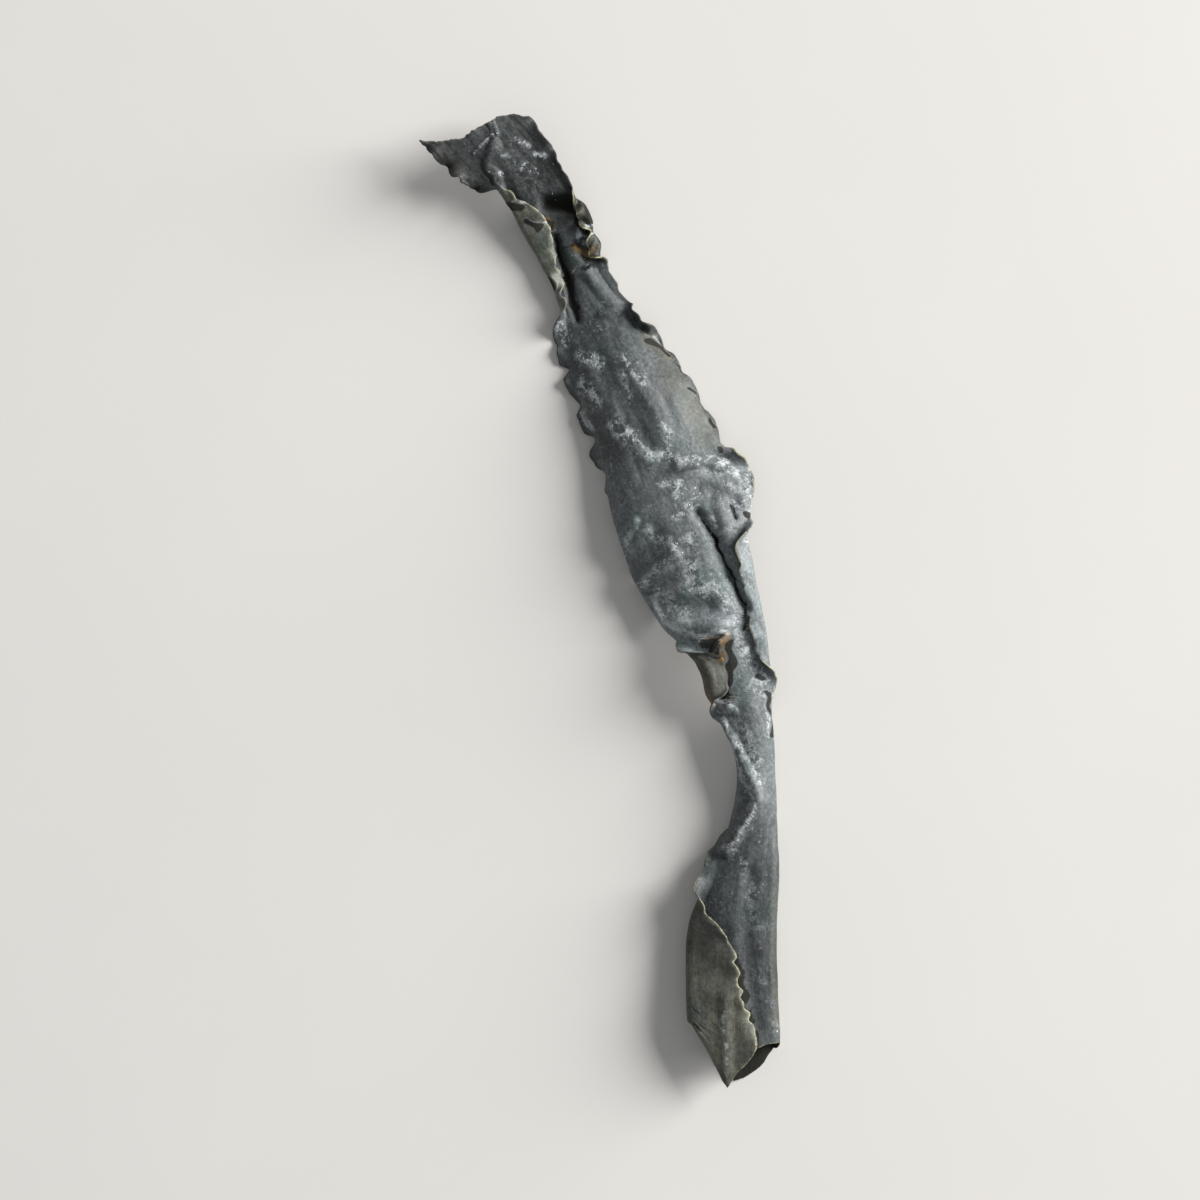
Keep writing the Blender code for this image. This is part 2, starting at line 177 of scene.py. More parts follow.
WANDER_LENGTH, SIZE_LENGTH = 14.0, 9.0  # over which their spacing and their height change
LEAST_HEIGHT = 0.3  # of the middle of the blade above the table
LEAST_BEND = 1.5  # the shortest way on which a margin turns
SECOND_CREST, SECOND_CREST_LAG, CREST_PEAK = 0.3, 1.0, 1.2  # the small crest that each crest carries
SIZE_SPREAD = 0.5  # how unevenly high the crests are

# The ends: where the blade starts and stops along the spine, against the flat distance across it.
TOP_END = ((-9.3, 0.4), (-4.1, 4.2), (1.9, 5.5), (5.8, 7.0), (8.3, 9.2))
TOP_END_SECTION = 5.0  # the cross-section in which that distance is measured
LOWER_END = (
    (-22.5, 181.6), (-18.2, 186.6), (-16.9, 188.1), (-16.2, 187.0), (-11.8, 178.3), (-11.0, 176.8),
    (-7.5, 175.8), (-6.9, 176.5), (-3.2, 184.0), (-2.2, 186.2), (0.0, 185.4), (3.5, 181.8), (7.0, 181.0),
    (10.2, 181.8), (12.4, 184.6), (14.6, 186.4), (17.9, 187.6), (21.4, 181.0),
)
LOWER_END_SECTION = 184.0
TEAR_SIZE, TEAR_DEPTH = 2.2, 0.5  # the unevenness of the torn and cut ends
FINE_TEAR_SIZE, FINE_TEAR_DEPTH = 0.6, 0.22
END_BLEND = 28.0  # over which the rows take on the slant of an end
TOP_RIM, LOWER_RIM = 0.1, 0.4  # how pale the rims of the two ends are

# Wrinkles, each a raised or sunk line seen from above: the points that it runs through (along the
# spine, and across from it, left of it below 0), its half width and its height, sunk ones below 0.
WRINKLES = (
    (((22.8, 1.6), (25.0, 5.4)), 2.0, -2.0),
    (((28.5, -0.2), (43.5, -3.3)), 1.2, -1.1),
    (((33.0, 1.2), (44.0, 3.8)), 1.8, 0.6),
    (((31.5, 2.8), (42.0, 5.2)), 1.4, -0.6),
    (((45.0, 1.5), (46.0, 6.5)), 1.5, 0.6),
    (((52.0, -3.0), (70.0, -1.0)), 2.6, -0.4),
    (((56.0, 2.0), (76.0, 3.6)), 2.2, 0.35),
    (((75.0, 3.0), (76.0, 7.1), (77.8, 10.0)), 1.5, 1.0),
    (((80.5, 4.7), (84.8, 9.1)), 2.6, -0.6),
    (((84.5, 3.0), (90.5, 4.3), (97.0, 4.4), (103.2, 5.2)), 1.4, -1.2),
    (((84.0, 7.4), (97.0, 6.8)), 1.9, 0.8),
    (((84.8, -12.0), (81.8, -8.1)), 1.3, 1.0),
    (((88.5, -11.0), (86.0, -5.0)), 2.4, -0.8),
    (((92.8, -11.9), (90.0, -3.4)), 1.8, 1.4),
    (((98.0, -8.5), (100.5, -0.7)), 2.4, -1.5),
    (((102.0, -8.0), (105.0, 0.4)), 1.6, 1.0),
    (((117.5, -4.9), (120.0, -2.2)), 1.0, 0.6),
    (((121.5, -5.2), (130.2, -2.3), (137.0, 0.8), (140.0, -1.1), (146.8, -4.2)), 1.6, 1.3),
    (((150.0, 1.0), (178.0, 3.6)), 2.2, -0.5),
    (((172.0, -1.5), (186.0, -2.0)), 1.4, 0.6),
)
# Sharper ones that only the fine mesh can hold.
FINE_WRINKLES = (
    (((5.8, 2.4), (8.8, 1.2), (10.8, -2.6), (16.0, -3.9)), 1.0, 0.6),
    (((8.0, -3.3), (7.8, 1.1)), 0.6, 0.3),
    (((4.5, 3.2), (8.0, 1.4)), 0.5, -0.5),
    (((30.0, -0.6), (36.0, -1.4), (42.8, -3.1)), 0.7, -0.9),
    (((35.0, -4.0), (38.0, -6.2)), 1.1, 0.8),
    (((28.2, 5.4), (30.2, 6.2)), 0.8, -0.8),
    (((31.6, 2.4), (34.0, 3.4), (33.2, 5.2)), 0.7, 0.7),
    (((86.0, 8.6), (88.2, 8.8)), 0.7, -0.5),
    (((86.5, 3.4), (90.5, 4.4), (97.0, 4.4), (103.2, 5.2)), 0.6, -0.7),
    (((74.0, -2.0), (76.2, 3.4), (76.4, 7.0)), 0.7, 0.35),
    (((105.8, -4.6), (105.0, -2.8), (105.2, -0.8), (106.3, 0.3)), 0.7, 0.5),
    (((106.6, 0.2), (107.8, -1.9), (109.4, -3.4)), 0.5, 0.5),
    (((117.3, -3.6), (120.0, -2.2)), 0.7, 0.4),
    (((136.8, 0.2), (140.8, -1.1), (144.0, -2.6), (146.5, -4.2)), 0.7, 0.5),
)
PUCKER_SIZE, PUCKER_HEIGHT = 11.0, 0.5  # the broad unevenness of the dried blade
RIPPLE_LENGTH, RIPPLE_WIDTH, RIPPLE_HEIGHT = 22.0, 3.6, 0.28  # finer ripples, drawn out along the strip
TOP_TEAR_SEED, LOWER_TEAR_SEED, PUCKER_SEED, RIPPLE_SEED, SIZE_SEED = 3.0, 5.0, 2.5, 8.1, 7.0

# The fine finish of the surface.
NICK_SIZE = 1.3  # of the nicks along a free edge
LEAST_NICK = -0.2  # below 0, how far the edge stands out between them, as a share of their depth
CRIMP_LENGTH, CRIMP_BAND, CRIMP_ANGLE = 2.1, 1.3, 32.0  # the small curls of the last millimetre
CREASE_LENGTH, CREASE_WIDTH = 10.0, 1.7  # the fine creases, drawn out along the strip
CREASE_FADE, LEAST_CREASE = 16.0, 0.1  # where they die away before the cut end, and to what share
PIT_SIZE, PIT_SHARE = 2.4, 0.5  # the shallow pits, and their depth against that of the creases
CRUMPLE_SIZE, CRUMPLE_BAND = 1.7, 2.2  # the crumpling beside a free edge
CRUMPLE_SHARE = 1.6  # of its height against that of the creases
THIN_BAND, THIN_SHARE = 1.6, 0.5  # where the blade thins towards its edge, and to what share
WOBBLE_SIZE, WOBBLE_REACH = 2.2, 0.9  # how finely and how far drawn lines and places stray
NICK_SEED, CRIMP_SEED, CREASE_SEED = 11.0, 12.5, 14.2
PIT_SEED, CRUMPLE_SEED, WOBBLE_SEED = 16.8, 19.1, 23.7
FLAP_FOLD = 90.0  # a margin that is turned further than this is a flap
FOLD_BLEND = 40.0  # the last degrees before that, over which the painted shade of the open blade's hollows fades out
TUBE_START = 150.0  # from where the right margin lies inside the flattened tube
RIM_LIMIT = 9.0  # the furthest distance from an edge that the blade is marked with
MAP_UNIT = 100.0  # of flat blade, for each unit of its map

# Where the surface has stains or dust, or painted shade in its folds, grooves and pockets: the points that
# each place runs through, its half width and its strength. The places are read as the wrinkles' are.
BLOOM_PLACES = (
    (((2.0, 0.0), (18.0, 2.0)), 7.0, 0.06),
    (((10.5, 3.2), (13.0, 4.9)), 0.8, 0.5),
    (((11.5, 0.4), (13.2, 1.0)), 1.0, 0.4),
    (((15.0, 2.0), (16.8, 2.8)), 0.8, 0.8),
    (((14.8, 5.1), (16.0, 5.7)), 0.7, 0.8),
    (((13.0, -2.4), (14.0, -2.3)), 0.7, 0.7),
    (((30.0, 4.2), (31.4, 4.4)), 0.9, 0.9),
    (((42.2, -7.3), (45.8, -6.5)), 1.4, 0.6),
    (((50.0, -5.6), (52.5, -3.2)), 1.8, 1.0),
    (((53.8, -7.5), (59.2, -6.3)), 1.9, 1.0),
    (((59.0, -10.2), (62.5, -9.2)), 1.5, 0.8),
    (((54.0, 1.2), (59.2, 2.4)), 1.3, 0.8),
    (((56.0, -0.5), (60.5, -0.4)), 1.1, 0.6),
    (((64.2, -5.6), (68.5, -3.0)), 1.9, 1.0),
    (((69.5, -2.4), (72.2, -0.6), (74.0, 2.6)), 1.5, 1.0),
    (((67.5, 2.4), (72.5, 2.5)), 1.2, 0.6),
    (((74.5, 2.7), (76.0, 7.1), (77.8, 10.0), (80.2, 12.5)), 1.3, 0.9),
    (((80.2, 13.0), (84.8, 13.0), (87.5, 12.0), (92.0, 9.8)), 1.5, 0.9),
    (((77.2, 6.2), (79.5, 8.6), (83.0, 11.0)), 1.5, 0.4),
    (((77.2, -1.2), (78.5, 1.9), (80.8, 0.1)), 1.0, 0.9),
    (((83.8, -0.8), (83.0, 2.0)), 1.5, 1.0),
    (((83.0, -7.1), (84.8, -6.0), (89.2, -1.7), (88.2, 0.4)), 1.5, 1.0),
    (((92.6, -1.6), (94.4, -1.2)), 2.0, 1.0),
    (((93.0, -11.4), (90.0, -3.8)), 0.7, 0.6),
    (((95.8, -8.7), (100.5, -5.3)), 2.4, 0.7),
    (((95.0, -3.2), (99.8, 0.2)), 2.4, 0.75),
    (((86.5, 5.0), (94.5, 4.9)), 0.8, 0.5),
    (((97.8, 1.4), (101.5, 2.1), (105.5, 2.8), (108.2, 3.3)), 2.0, 0.8),
    (((107.2, 2.2), (113.0, 3.3), (118.2, 4.5)), 2.0, 0.9),
    (((100.0, -9.3), (103.2, -7.0), (106.0, -3.5)), 1.2, 1.0),
    (((117.5, -4.4), (120.0, -2.2)), 0.8, 0.9),
    (((118.0, -5.0), (122.5, -3.8), (127.5, -2.9), (132.8, -2.3), (136.5, -0.4)), 1.1, 0.6),
    (((122.2, -2.2), (127.2, -0.8), (133.4, 0.6)), 1.7, 0.75),
    (((136.8, -0.4), (140.8, -0.9), (144.0, -2.4), (146.5, -4.1)), 0.8, 0.4),
    (((146.0, -2.3), (148.2, -0.2)), 0.9, 0.4),
    (((148.2, -0.9), (159.2, 3.9)), 1.8, 0.18),
    (((166.5, 4.1), (171.5, 5.3), (178.5, 6.9)), 1.2, 0.15),
)
OLIVE_PLACES = (
    (((51.2, 6.2), (55.8, 7.9)), 2.0, 0.8),
    (((58.0, 7.6), (72.0, 8.8)), 3.0, 0.6),
    (((110.0, -3.0), (117.0, -4.0)), 3.0, 0.8),
    (((151.8, 6.2), (158.8, 7.4), (178.0, 7.6)), 1.6, 0.9),
    (((0.0, -4.0), (8.0, -8.0)), 3.0, 0.5),
)
AMBER_PLACES = (
    (((106.0, -2.8), (106.4, -0.8)), 1.1, 1.0),
    (((107.2, -0.5), (110.0, -1.5)), 1.7, 1.0),
    (((32.4, 2.4), (34.4, 3.4), (33.6, 4.6)), 1.1, 0.8),
    (((25.0, -0.6), (26.4, 0.6)), 0.7, 0.6),
    (((113.0, -5.6), (118.0, -5.6)), 0.9, 0.5),
    (((54.0, 7.4), (56.0, 8.6)), 1.0, 0.5),
)
# Painted shade: the folds, grooves and pockets are painted dark where shade falls in them.
HOLLOW_SHADE_PLACES = (
    (((22.8, 1.6), (25.0, 5.4)), 2.2, 1.0),
    (((28.8, -0.2), (31.5, -0.8), (35.8, -1.5), (39.8, -2.5), (43.6, -3.4)), 0.9, 1.0),
    (((35.8, -1.3), (39.8, -2.2), (41.4, -2.6)), 1.5, 1.0),
    (((25.0, 6.4), (28.6, 4.6), (30.2, 5.2)), 0.9, 0.8),
    (((34.6, 4.6), (36.0, 5.6)), 0.7, 0.6),
    (((23.6, -2.0), (26.0, -0.6), (26.2, 0.6)), 0.8, 0.8),
    (((86.0, 8.6), (87.6, 8.7)), 0.8, 0.9),
    (((87.2, 11.2), (88.4, 11.1)), 0.6, 0.8),
    (((10.8, -7.3), (13.0, -6.9)), 0.8, 0.9),
    (((5.0, -7.6), (7.0, -8.2)), 0.7, 0.8),
    (((47.8, 6.2), (50.2, 7.1)), 0.8, 0.7),
    (((51.8, 6.3), (55.8, 8.5)), 0.7, 0.8),
    (((62.2, 9.3), (63.6, 9.8)), 0.45, 0.7),
    (((69.4, 10.4), (71.0, 10.5)), 0.5, 0.7),
    (((74.4, 10.4), (75.6, 10.4)), 0.6, 0.8),
    (((88.0, 3.9), (90.5, 4.5), (97.0, 4.5), (103.2, 5.2)), 0.75, 0.8),
    (((103.2, 5.2), (106.8, 3.6)), 0.6, 0.7),
    (((106.4, -3.8), (107.2, -2.4), (108.4, -2.2)), 1.4, 1.0),
    (((108.2, 0.7), (110.8, 0.4), (114.0, -1.2), (117.2, -3.2)), 1.0, 1.0),
    (((118.2, 4.4), (122.2, 4.0), (126.0, 3.5)), 0.5, 0.7),
    (((115.0, 3.8), (116.0, 4.3)), 0.6, 0.9),
    (((165.4, -0.1), (168.0, 0.7)), 1.1, 1.0),
    (((169.4, 0.7), (173.0, 1.5)), 1.1, 1.0),
    (((174.6, 1.9), (177.2, 2.4)), 0.8, 0.9),
    (((179.0, 2.7), (181.5, 3.4)), 0.9, 1.0),
)
# The painted shade of the hollows on a margin that is folded over.
FLAP_HOLLOW_SHADE_PLACES = (
    (((35.2, -4.4), (38.6, -6.2)), 1.1, 0.8),
    (((26.0, 7.6), (28.6, 7.0)), 1.0, 1.0),
    (((31.6, 6.4), (33.8, 6.7)), 0.9, 0.5),
    (((19.0, -4.4), (21.0, -3.0)), 1.1, 1.0),
    (((23.8, -2.9), (25.6, -1.8)), 0.9, 0.9),
    (((107.8, -3.4), (109.4, -2.4)), 1.2, 0.9),
)
# Pale lines of salt along the sharp crests and cracks, on some ridge tops partly a painted highlight.
CREST_PLACES = (
    (((8.0, -3.3), (7.8, -0.5), (7.6, 1.2)), 0.35, 0.5),
    (((10.8, -2.8), (16.0, -3.7)), 0.3, 0.3),
    (((18.5, -4.5), (19.0, -2.6), (21.2, -2.0)), 0.35, 0.7),
    (((23.2, -2.6), (25.2, -1.4), (26.0, 0.4)), 0.35, 0.8),
    (((28.4, -0.5), (32.8, -1.6), (39.8, -3.7)), 0.3, 0.4),
    (((25.5, 7.6), (26.8, 8.3), (29.2, 7.4), (29.5, 5.5)), 0.4, 0.8),
    (((31.2, 5.4), (31.2, 7.3), (33.5, 7.3)), 0.35, 0.7),
    (((51.5, 7.2), (57.2, 9.6), (61.0, 10.2)), 0.35, 0.6),
    (((84.2, -12.0), (81.5, -7.3)), 0.25, 0.4),
    (((92.8, -11.4), (90.6, -5.8)), 0.4, 0.4),
    (((74.0, -2.9), (75.6, 0.4), (76.2, 3.4)), 0.4, 0.4),
    (((85.0, 12.4), (85.8, 9.0)), 0.4, 0.6),
    (((101.0, -9.4), (103.4, -7.0), (105.6, -3.9), (105.0, -1.5), (106.0, 0.2)), 0.55, 1.0),
    (((106.6, 0.2), (107.8, -1.9), (109.8, -3.4)), 0.35, 0.9),
    (((117.3, -4.4), (118.4, -3.2), (120.0, -2.2)), 0.4, 0.9),
    (((118.0, -5.2), (122.5, -4.1), (127.5, -3.3), (132.8, -2.7), (136.5, -0.6)), 0.35, 0.6),
    (((136.4, -0.4), (138.6, 0.0), (140.8, -0.9), (144.0, -2.4), (146.5, -4.1)), 0.35, 0.7),
    (((122.0, 3.3), (126.0, 2.9)), 0.4, 0.6),
    (((174.0, -1.7), (186.5, -2.0)), 0.4, 0.5),
)
# How light the blade is painted along the strip, partly its own tone and partly painted light and shade,
# such as the darker fan and the dark curls by the neck: its smooth face, then its under face on each side.
SMOOTH_SHADES = (
    (0, 0.27), (22, 0.30), (34, 0.56), (46, 0.78), (60, 0.84), (84, 1.26), (104, 1.72), (122, 1.20),
    (140, 0.95), (150, 0.58), (190, 0.50),
)
LEFT_UNDER_SHADES = (
    (0, 0.6), (14, 0.8), (20, 1.9), (46, 1.3), (102, 0.8), (107, 0.5), (117, 0.55), (150, 0.8), (158, 0.68),
    (190, 0.68),
)
RIGHT_UNDER_SHADES = ((0, 0.5), (22, 0.35), (35, 0.35), (46, 0.8), (190, 0.6))
# Where the under face of the right margin is as grey and dusted as the smooth face.
GREY_UNDER = ((86, 0.0), (89, 1.0), (116, 1.0), (120, 0.0))

# The patterns of the finishes: the size of their features, their detail and roughness, and the two
# levels of noise between which each rises from nothing to full.
PATTERNS = {
    "blotch": (14.0, 5, 0.6, 0.36, 0.62),
    "mottle": (2.4, 4, 0.65, 0.42, 0.68),
    "teal": (9.0, 3, 0.6, 0.50, 0.66),
    "speck": (0.55, 2, 0.5, 0.60, 0.70),
    "patch": (5.0, 3, 0.6, 0.50, 0.64),
    "frost": (1.5, 5, 0.72, 0.46, 0.55),
    "grains": (0.5, 3, 0.6, 0.47, 0.57),
    "thin": (3.0, 3, 0.55, 0.30, 0.60),
    "broken": (1.4, 4, 0.7, 0.40, 0.56),
    "crystals": (0.6, 3, 0.55, 0.35, 0.65),
    "table": (60.0, 3, 0.55, 0.30, 0.70),
}
STREAKS, FIBRES = (42, 6, 1), (110, 14, 1)  # how many lie across and along each unit of the map
PALE_RIM, DARK_RIM = (0.34, 0.12), (1.5, 0.2)  # from a free edge, where each starts and is full
DARKEST_CRYSTAL, DARKEST_TABLE = 0.62, 0.985  # as shares of their colours
BLADE_BUMP, CRYSTAL_BUMP = 0.22, 0.05  # how deep their finest unevenness is

# The flakes of salt: the least and the most of their length, width and thickness, as shares of the
# flake size, and how far they tilt and turn, in radians.
LEAST_FLAKE, MOST_FLAKE = (0.35, 0.3, 0.10), (1.5, 1.1, 0.32)
LEAST_TURN, MOST_TURN = (0.0, 0.0, 0.0), (0.3, 0.3, 6.283)

# The stage, in metres.
TABLE_REACH, TABLE_DROP = 1.5, 0.00004  # from its middle to its edges, and below the strip
KEY_PLACE, KEY_SIZE, KEY_COLOUR = (2.1, 0.8, 0.9), 1.5, (1.0, 0.985, 0.96)
SKY_COLOUR = (0.97, 0.985, 1.0)
CAMERA_LEAN = 0.086  # how far to the right the camera stands, as a share of its height


def length_property(name, description, default, least, most):
    return bpy.props.FloatProperty(
        name=name, description=description, default=default, min=least, max=most, precision=5, unit="LENGTH"
    )


class KelpShape(bpy.types.PropertyGroup):
    """Sizes of the blade's fine mesh."""

    thickness: length_property(
        "Blade thickness", "Thickness of the dried blade away from its edges", 0.45 * MM, 0.1 * MM, 1.0 * MM
    )
    crease_height: length_property(
        "Crease height", "Height of the fine creases that run along the dried blade", 0.13 * MM, 0.0, 0.5 * MM
    )
    rows: bpy.props.IntProperty(
        name="Rows", description="Cells of the mesh along the strip", default=560, min=60, max=560
    )
    columns: bpy.props.IntProperty(
        name="Columns", description="Cells of the mesh across the strip", default=80, min=20, max=80
    )


def colour_property(name, description, default):
    return bpy.props.FloatVectorProperty(
        name=name, description=description, default=default, min=0.0, max=1.0, size=3, subtype="COLOR"
    )


class KelpColours(bpy.types.PropertyGroup):
    """Colours of the blade and its bloom."""

    deep: colour_property("Deep grey", "The darkest blue-grey of the blade", (0.050, 0.057, 0.059))
    middle: colour_property("Blade grey", "The main blue-grey of the blade", (0.092, 0.104, 0.108))
    light: colour_property("Frosted grey", "The blade under a thin frost of salt", (0.175, 0.193, 0.200))
    teal: colour_property("Teal grey", "The greener patches of the blade", (0.075, 0.108, 0.104))
    olive_deep: colour_property("Deep olive", "The darkest olive of the under face", (0.052, 0.054, 0.040))
    olive: colour_property("Olive", "The main olive grey of the under face", (0.118, 0.120, 0.092))
    rim: colour_property("Pale rim", "The thin dried edge", (0.42, 0.41, 0.25))
    # A dark line painted along the free edges whose rim tone is dark, darkest right at the edge.
    dark_rim: colour_property("Dark rim", "The edge where it is damp and thick", (0.020, 0.020, 0.016))
    amber: colour_property("Amber", "Thin blade inside the pockets", (0.21, 0.115, 0.022))
    # Painted shade: the dark colour put into folds, grooves, pockets and the inside of the flattened tube.
    hollow_shade: colour_property("Hollow", "The bottom of folds and grooves", (0.017, 0.017, 0.014))
    bloom: colour_property("Salt bloom", "The dried salt and sugar on the blade", (0.52, 0.56, 0.58))


class SaltBloom(bpy.types.PropertyGroup):
    """Sizes of the scattered flakes."""

    flake_size: length_property(
        "Flake size", "Width of a middling flake of salt", 0.38 * MM, 0.05 * MM, 2.0 * MM
    )
    density: bpy.props.FloatProperty(
        name="Flakes for each square metre",
        description="How closely the flakes lie where the bloom is strongest",
        default=3.2e6,
        min=0.0,
        max=2.0e7,
    )
    clump_size: length_property(
        "Clump size", "Size of the patches that the flakes gather in", 1.8 * MM, 0.2 * MM, 20 * MM
    )
    seed: bpy.props.IntProperty(name="Seed", description="Changes where the flakes fall", default=4, min=0)


class TableTop(bpy.types.PropertyGroup):
    """The table, the light and the camera."""

    floor_colour: colour_property("Table colour", "The pale table", (0.785, 0.77, 0.745))
    frame_width: length_property(
        "Frame width", "How much of the table the camera takes in, from side to side", 0.215, 0.05, 2.0
    )
    camera_height: length_property("Camera height", "Height of the camera above the table", 0.9, 0.1, 5.0)
    key_power: bpy.props.FloatProperty(
        name="Key light",
        description="Power of the soft light from the upper right",
        default=130.0,
        min=0.0,
        unit="POWER",
    )
    fill_strength: bpy.props.FloatProperty(
        name="Fill light", description="Strength of the light from all round", default=0.28, min=0.0, max=5.0
    )


def keyed(keys, at):
    """The table's value at each distance in at, by a smooth curve that never overshoots its keys."""
    x, y = np.array(keys, float).T
    step = np.diff(x)
    slope = np.diff(y) / step
    tangent = np.zeros(len(x))
    same_way = slope[:-1] * slope[1:] > 0
    near, far = step[:-1] + 2 * step[1:], 2 * step[:-1] + step[1:]
    with np.errstate(divide="ignore", invalid="ignore"):
        mean = (near + far) / (near / slope[:-1] + far / slope[1:])
    tangent[1:-1] = np.where(same_way, mean, 0.0)
    tangent[0], tangent[-1] = slope[0], slope[-1]
    at = np.clip(at, x[0], x[-1])
    i = np.clip(np.searchsorted(x, at) - 1, 0, len(step) - 1)
    t = (at - x[i]) / step[i]
    return (
        y[i] * (1 + 2 * t) * (1 - t) ** 2
        + y[i + 1] * t**2 * (3 - 2 * t)
        + step[i] * (tangent[i] * t * (1 - t) ** 2 + tangent[i + 1] * t**2 * (t - 1))
    )


def unit(vectors):
    return vectors / np.maximum(np.linalg.norm(vectors, axis=-1, keepdims=True), 1e-12)


def noise_at(x, y=0.0, z=0.0):
    """Smooth noise, about from -1 to 1, at each place of the arrays."""
    x, y, z = np.broadcast_arrays(x, y, z)
    values = [noise.noise(Vector(place)) for place in zip(x.ravel(), y.ravel(), z.ravel())]
    return np.array(values).reshape(x.shape)


def spine_length():
    return sum(math.dist(a[:2], b[:2]) for a, b in zip(SPINE, SPINE[1:]))


def spine_frame(along):
    """The spine's points, and the directions across it and up from the blade, at each distance along it."""
    points = np.array(SPINE)
    chords = np.linalg.norm(np.diff(points[:, :2], axis=0), axis=1)
    at = np.concatenate([[0], np.cumsum(chords)])
    centre = np.stack([keyed(list(zip(at, points[:, k])), along) for k in range(3)], axis=1)
    reach = SPINE_SMOOTHING
    kernel = np.hanning(2 * reach + 1)
    kernel /= kernel.sum()
    before = 2 * centre[:1] - centre[reach:0:-1]
    after = 2 * centre[-1:] - centre[-2:-2 - reach:-1]
    padded = np.concatenate([before, centre, after])
    centre = np.stack([np.convolve(padded[:, k], kernel, mode="valid") for k in range(3)], axis=1)
    heading = unit(np.gradient(centre, axis=0))
    across = unit(np.cross([0, 0, 1], heading))
    return centre, across, np.cross(heading, across)


def ruffle_wave(along, side):
    """The ruffle of one edge, about from -1 to 1, with crests that are uneven in spacing and height."""
    wander = noise_at(along / WANDER_LENGTH, side.unevenness_seed)
    size = noise_at(along / SIZE_LENGTH, side.unevenness_seed, SIZE_SEED)
    crests = np.cumsum(np.gradient(along) / keyed(RUFFLE_LENGTH, along))
    phase = 2 * math.pi * crests + side.crest_start + CREST_WANDER * wander
    wave = np.sin(phase) + SECOND_CREST * np.sin(2 * phase + SECOND_CREST_LAG)
    return wave / CREST_PEAK * (1 + SIZE_SPREAD * size)


def half_section(along, side):
    """One side of every cross-section: distance across, height, flat distance, fold so far and
    distance from the free edge."""
    nick = np.maximum(noise_at(along / NICK_SIZE, side.unevenness_seed, NICK_SEED), LEAST_NICK)
    reach = keyed(side.reach, along)[:, None]
    margin = (keyed(side.margin, along) - keyed(side.nicks, along) * nick)[:, None]
    turn = np.radians(keyed(side.turn, along))[:, None]
    arch = np.radians(keyed(side.arch, along))[:, None]
    swing = np.radians(keyed(side.ruffle, along) * ruffle_wave(along, side))[:, None]
    curl = noise_at(along / CRIMP_LENGTH, side.unevenness_seed, CRIMP_SEED)[:, None]
    crimp = np.radians(CRIMP_ANGLE) * curl
    full = reach + margin
    flat = np.linspace(0, 1, SECTION_POINTS)[None, :] * full
    bend = np.maximum(np.abs(turn) * keyed(side.radius, along)[:, None], LEAST_BEND)
    folded = np.clip((flat - reach) / bend, 0, 1)
    edge = np.clip(1 - (full - flat) / np.minimum(RUFFLE_BAND, margin), 0, 1)
    hem = np.clip(1 - (full - flat) / CRIMP_BAND, 0, 1)
    slope = -arch * np.clip(flat / reach, 0, 1)
    angle = slope * (1 - folded) + turn * folded + swing * edge**RUFFLE_FALL + crimp * hem
    step = np.diff(flat, axis=1)
    middle = (angle[:, 1:] + angle[:, :-1]) / 2
    at_spine = np.zeros((len(along), 1))
    across = np.concatenate([at_spine, np.cumsum(np.cos(middle) * step, axis=1)], axis=1)
    height = np.concatenate([at_spine, np.cumsum(np.sin(middle) * step, axis=1)], axis=1)
    return across, height, flat, np.abs(turn) * folded, full - flat


def cross_sections(along, columns):
    """Points of the bent blade in columns from its left edge to its right edge, with each one's
    distance across in plan and on the flat blade, its fold, and its distance from the free edge."""
    left, right = half_section(along, LEFT), half_section(along, RIGHT)
    mirrored = (-1, 1, -1, 1, 1)
    joined = [
        np.concatenate([sign * near[:, :0:-1], far], axis=1) for sign, near, far in zip(mirrored, left, right)
    ]
    flat, fold = joined[2], np.degrees(joined[3])
    turned = np.cumsum(np.abs(np.diff(fold, axis=1, prepend=fold[:, :1])), axis=1)
    used = flat / COLUMN_SPACING + turned / TURN_PER_COLUMN
    share = np.linspace(0, 1, columns + 1)
    picked = np.empty((len(joined), len(along), columns + 1))
    for i, row in enumerate(used):
        at = row[0] + (row[-1] - row[0]) * share
        for k, values in enumerate(joined):
            picked[k, i] = np.interp(at, row, values[i])
    across, height, flat, fold, edge = picked
    centre, sideways, up = spine_frame(along)
    points = (
        centre[:, None, :]
        + across[:, :, None] * sideways[:, None, :]
        + height[:, :, None] * up[:, None, :]
    )
    return points, across, flat, np.degrees(fold), edge


def distance_to_path(along, across, path):
    """How far each place is from a line through the path's points."""
    nearest = np.full(np.shape(along), np.inf)
    for start, end in zip(path, path[1:]):
        line = np.subtract(end, start)
        share = ((along - start[0]) * line[0] + (across - start[1]) * line[1]) / (line @ line)
        share = np.clip(share, 0, 1)
        away = np.hypot(along - start[0] - share * line[0], across - start[1] - share * line[1])
        nearest = np.minimum(nearest, away)
    return nearest


def mark(along, across, path, half_width):
    """1 on the path, falling smoothly to 0 at the half width."""
    away = distance_to_path(along, across, path)
    return np.maximum(0, 1 - (away / half_width) ** 2) ** 2


def relief(along, across):
    """How far the dried surface is lifted at each place in plan, for all the layers there alike."""
    height = PUCKER_HEIGHT * noise_at(along / PUCKER_SIZE, across / PUCKER_SIZE, PUCKER_SEED)
    height += RIPPLE_HEIGHT * noise_at(along / RIPPLE_LENGTH, across / RIPPLE_WIDTH, RIPPLE_SEED)
    for path, half_width, rise in WRINKLES:
        height += rise * mark(along, across, path, half_width)
    drawn = wobbled(along, across)
    for path, half_width, rise in FINE_WRINKLES:
        height += rise * mark(*drawn, path, half_width)
    return height


def torn(flat, seed):
    coarse = TEAR_DEPTH * noise_at(flat / TEAR_SIZE, seed)
    return coarse + FINE_TEAR_DEPTH * noise_at(flat / FINE_TEAR_SIZE, seed)


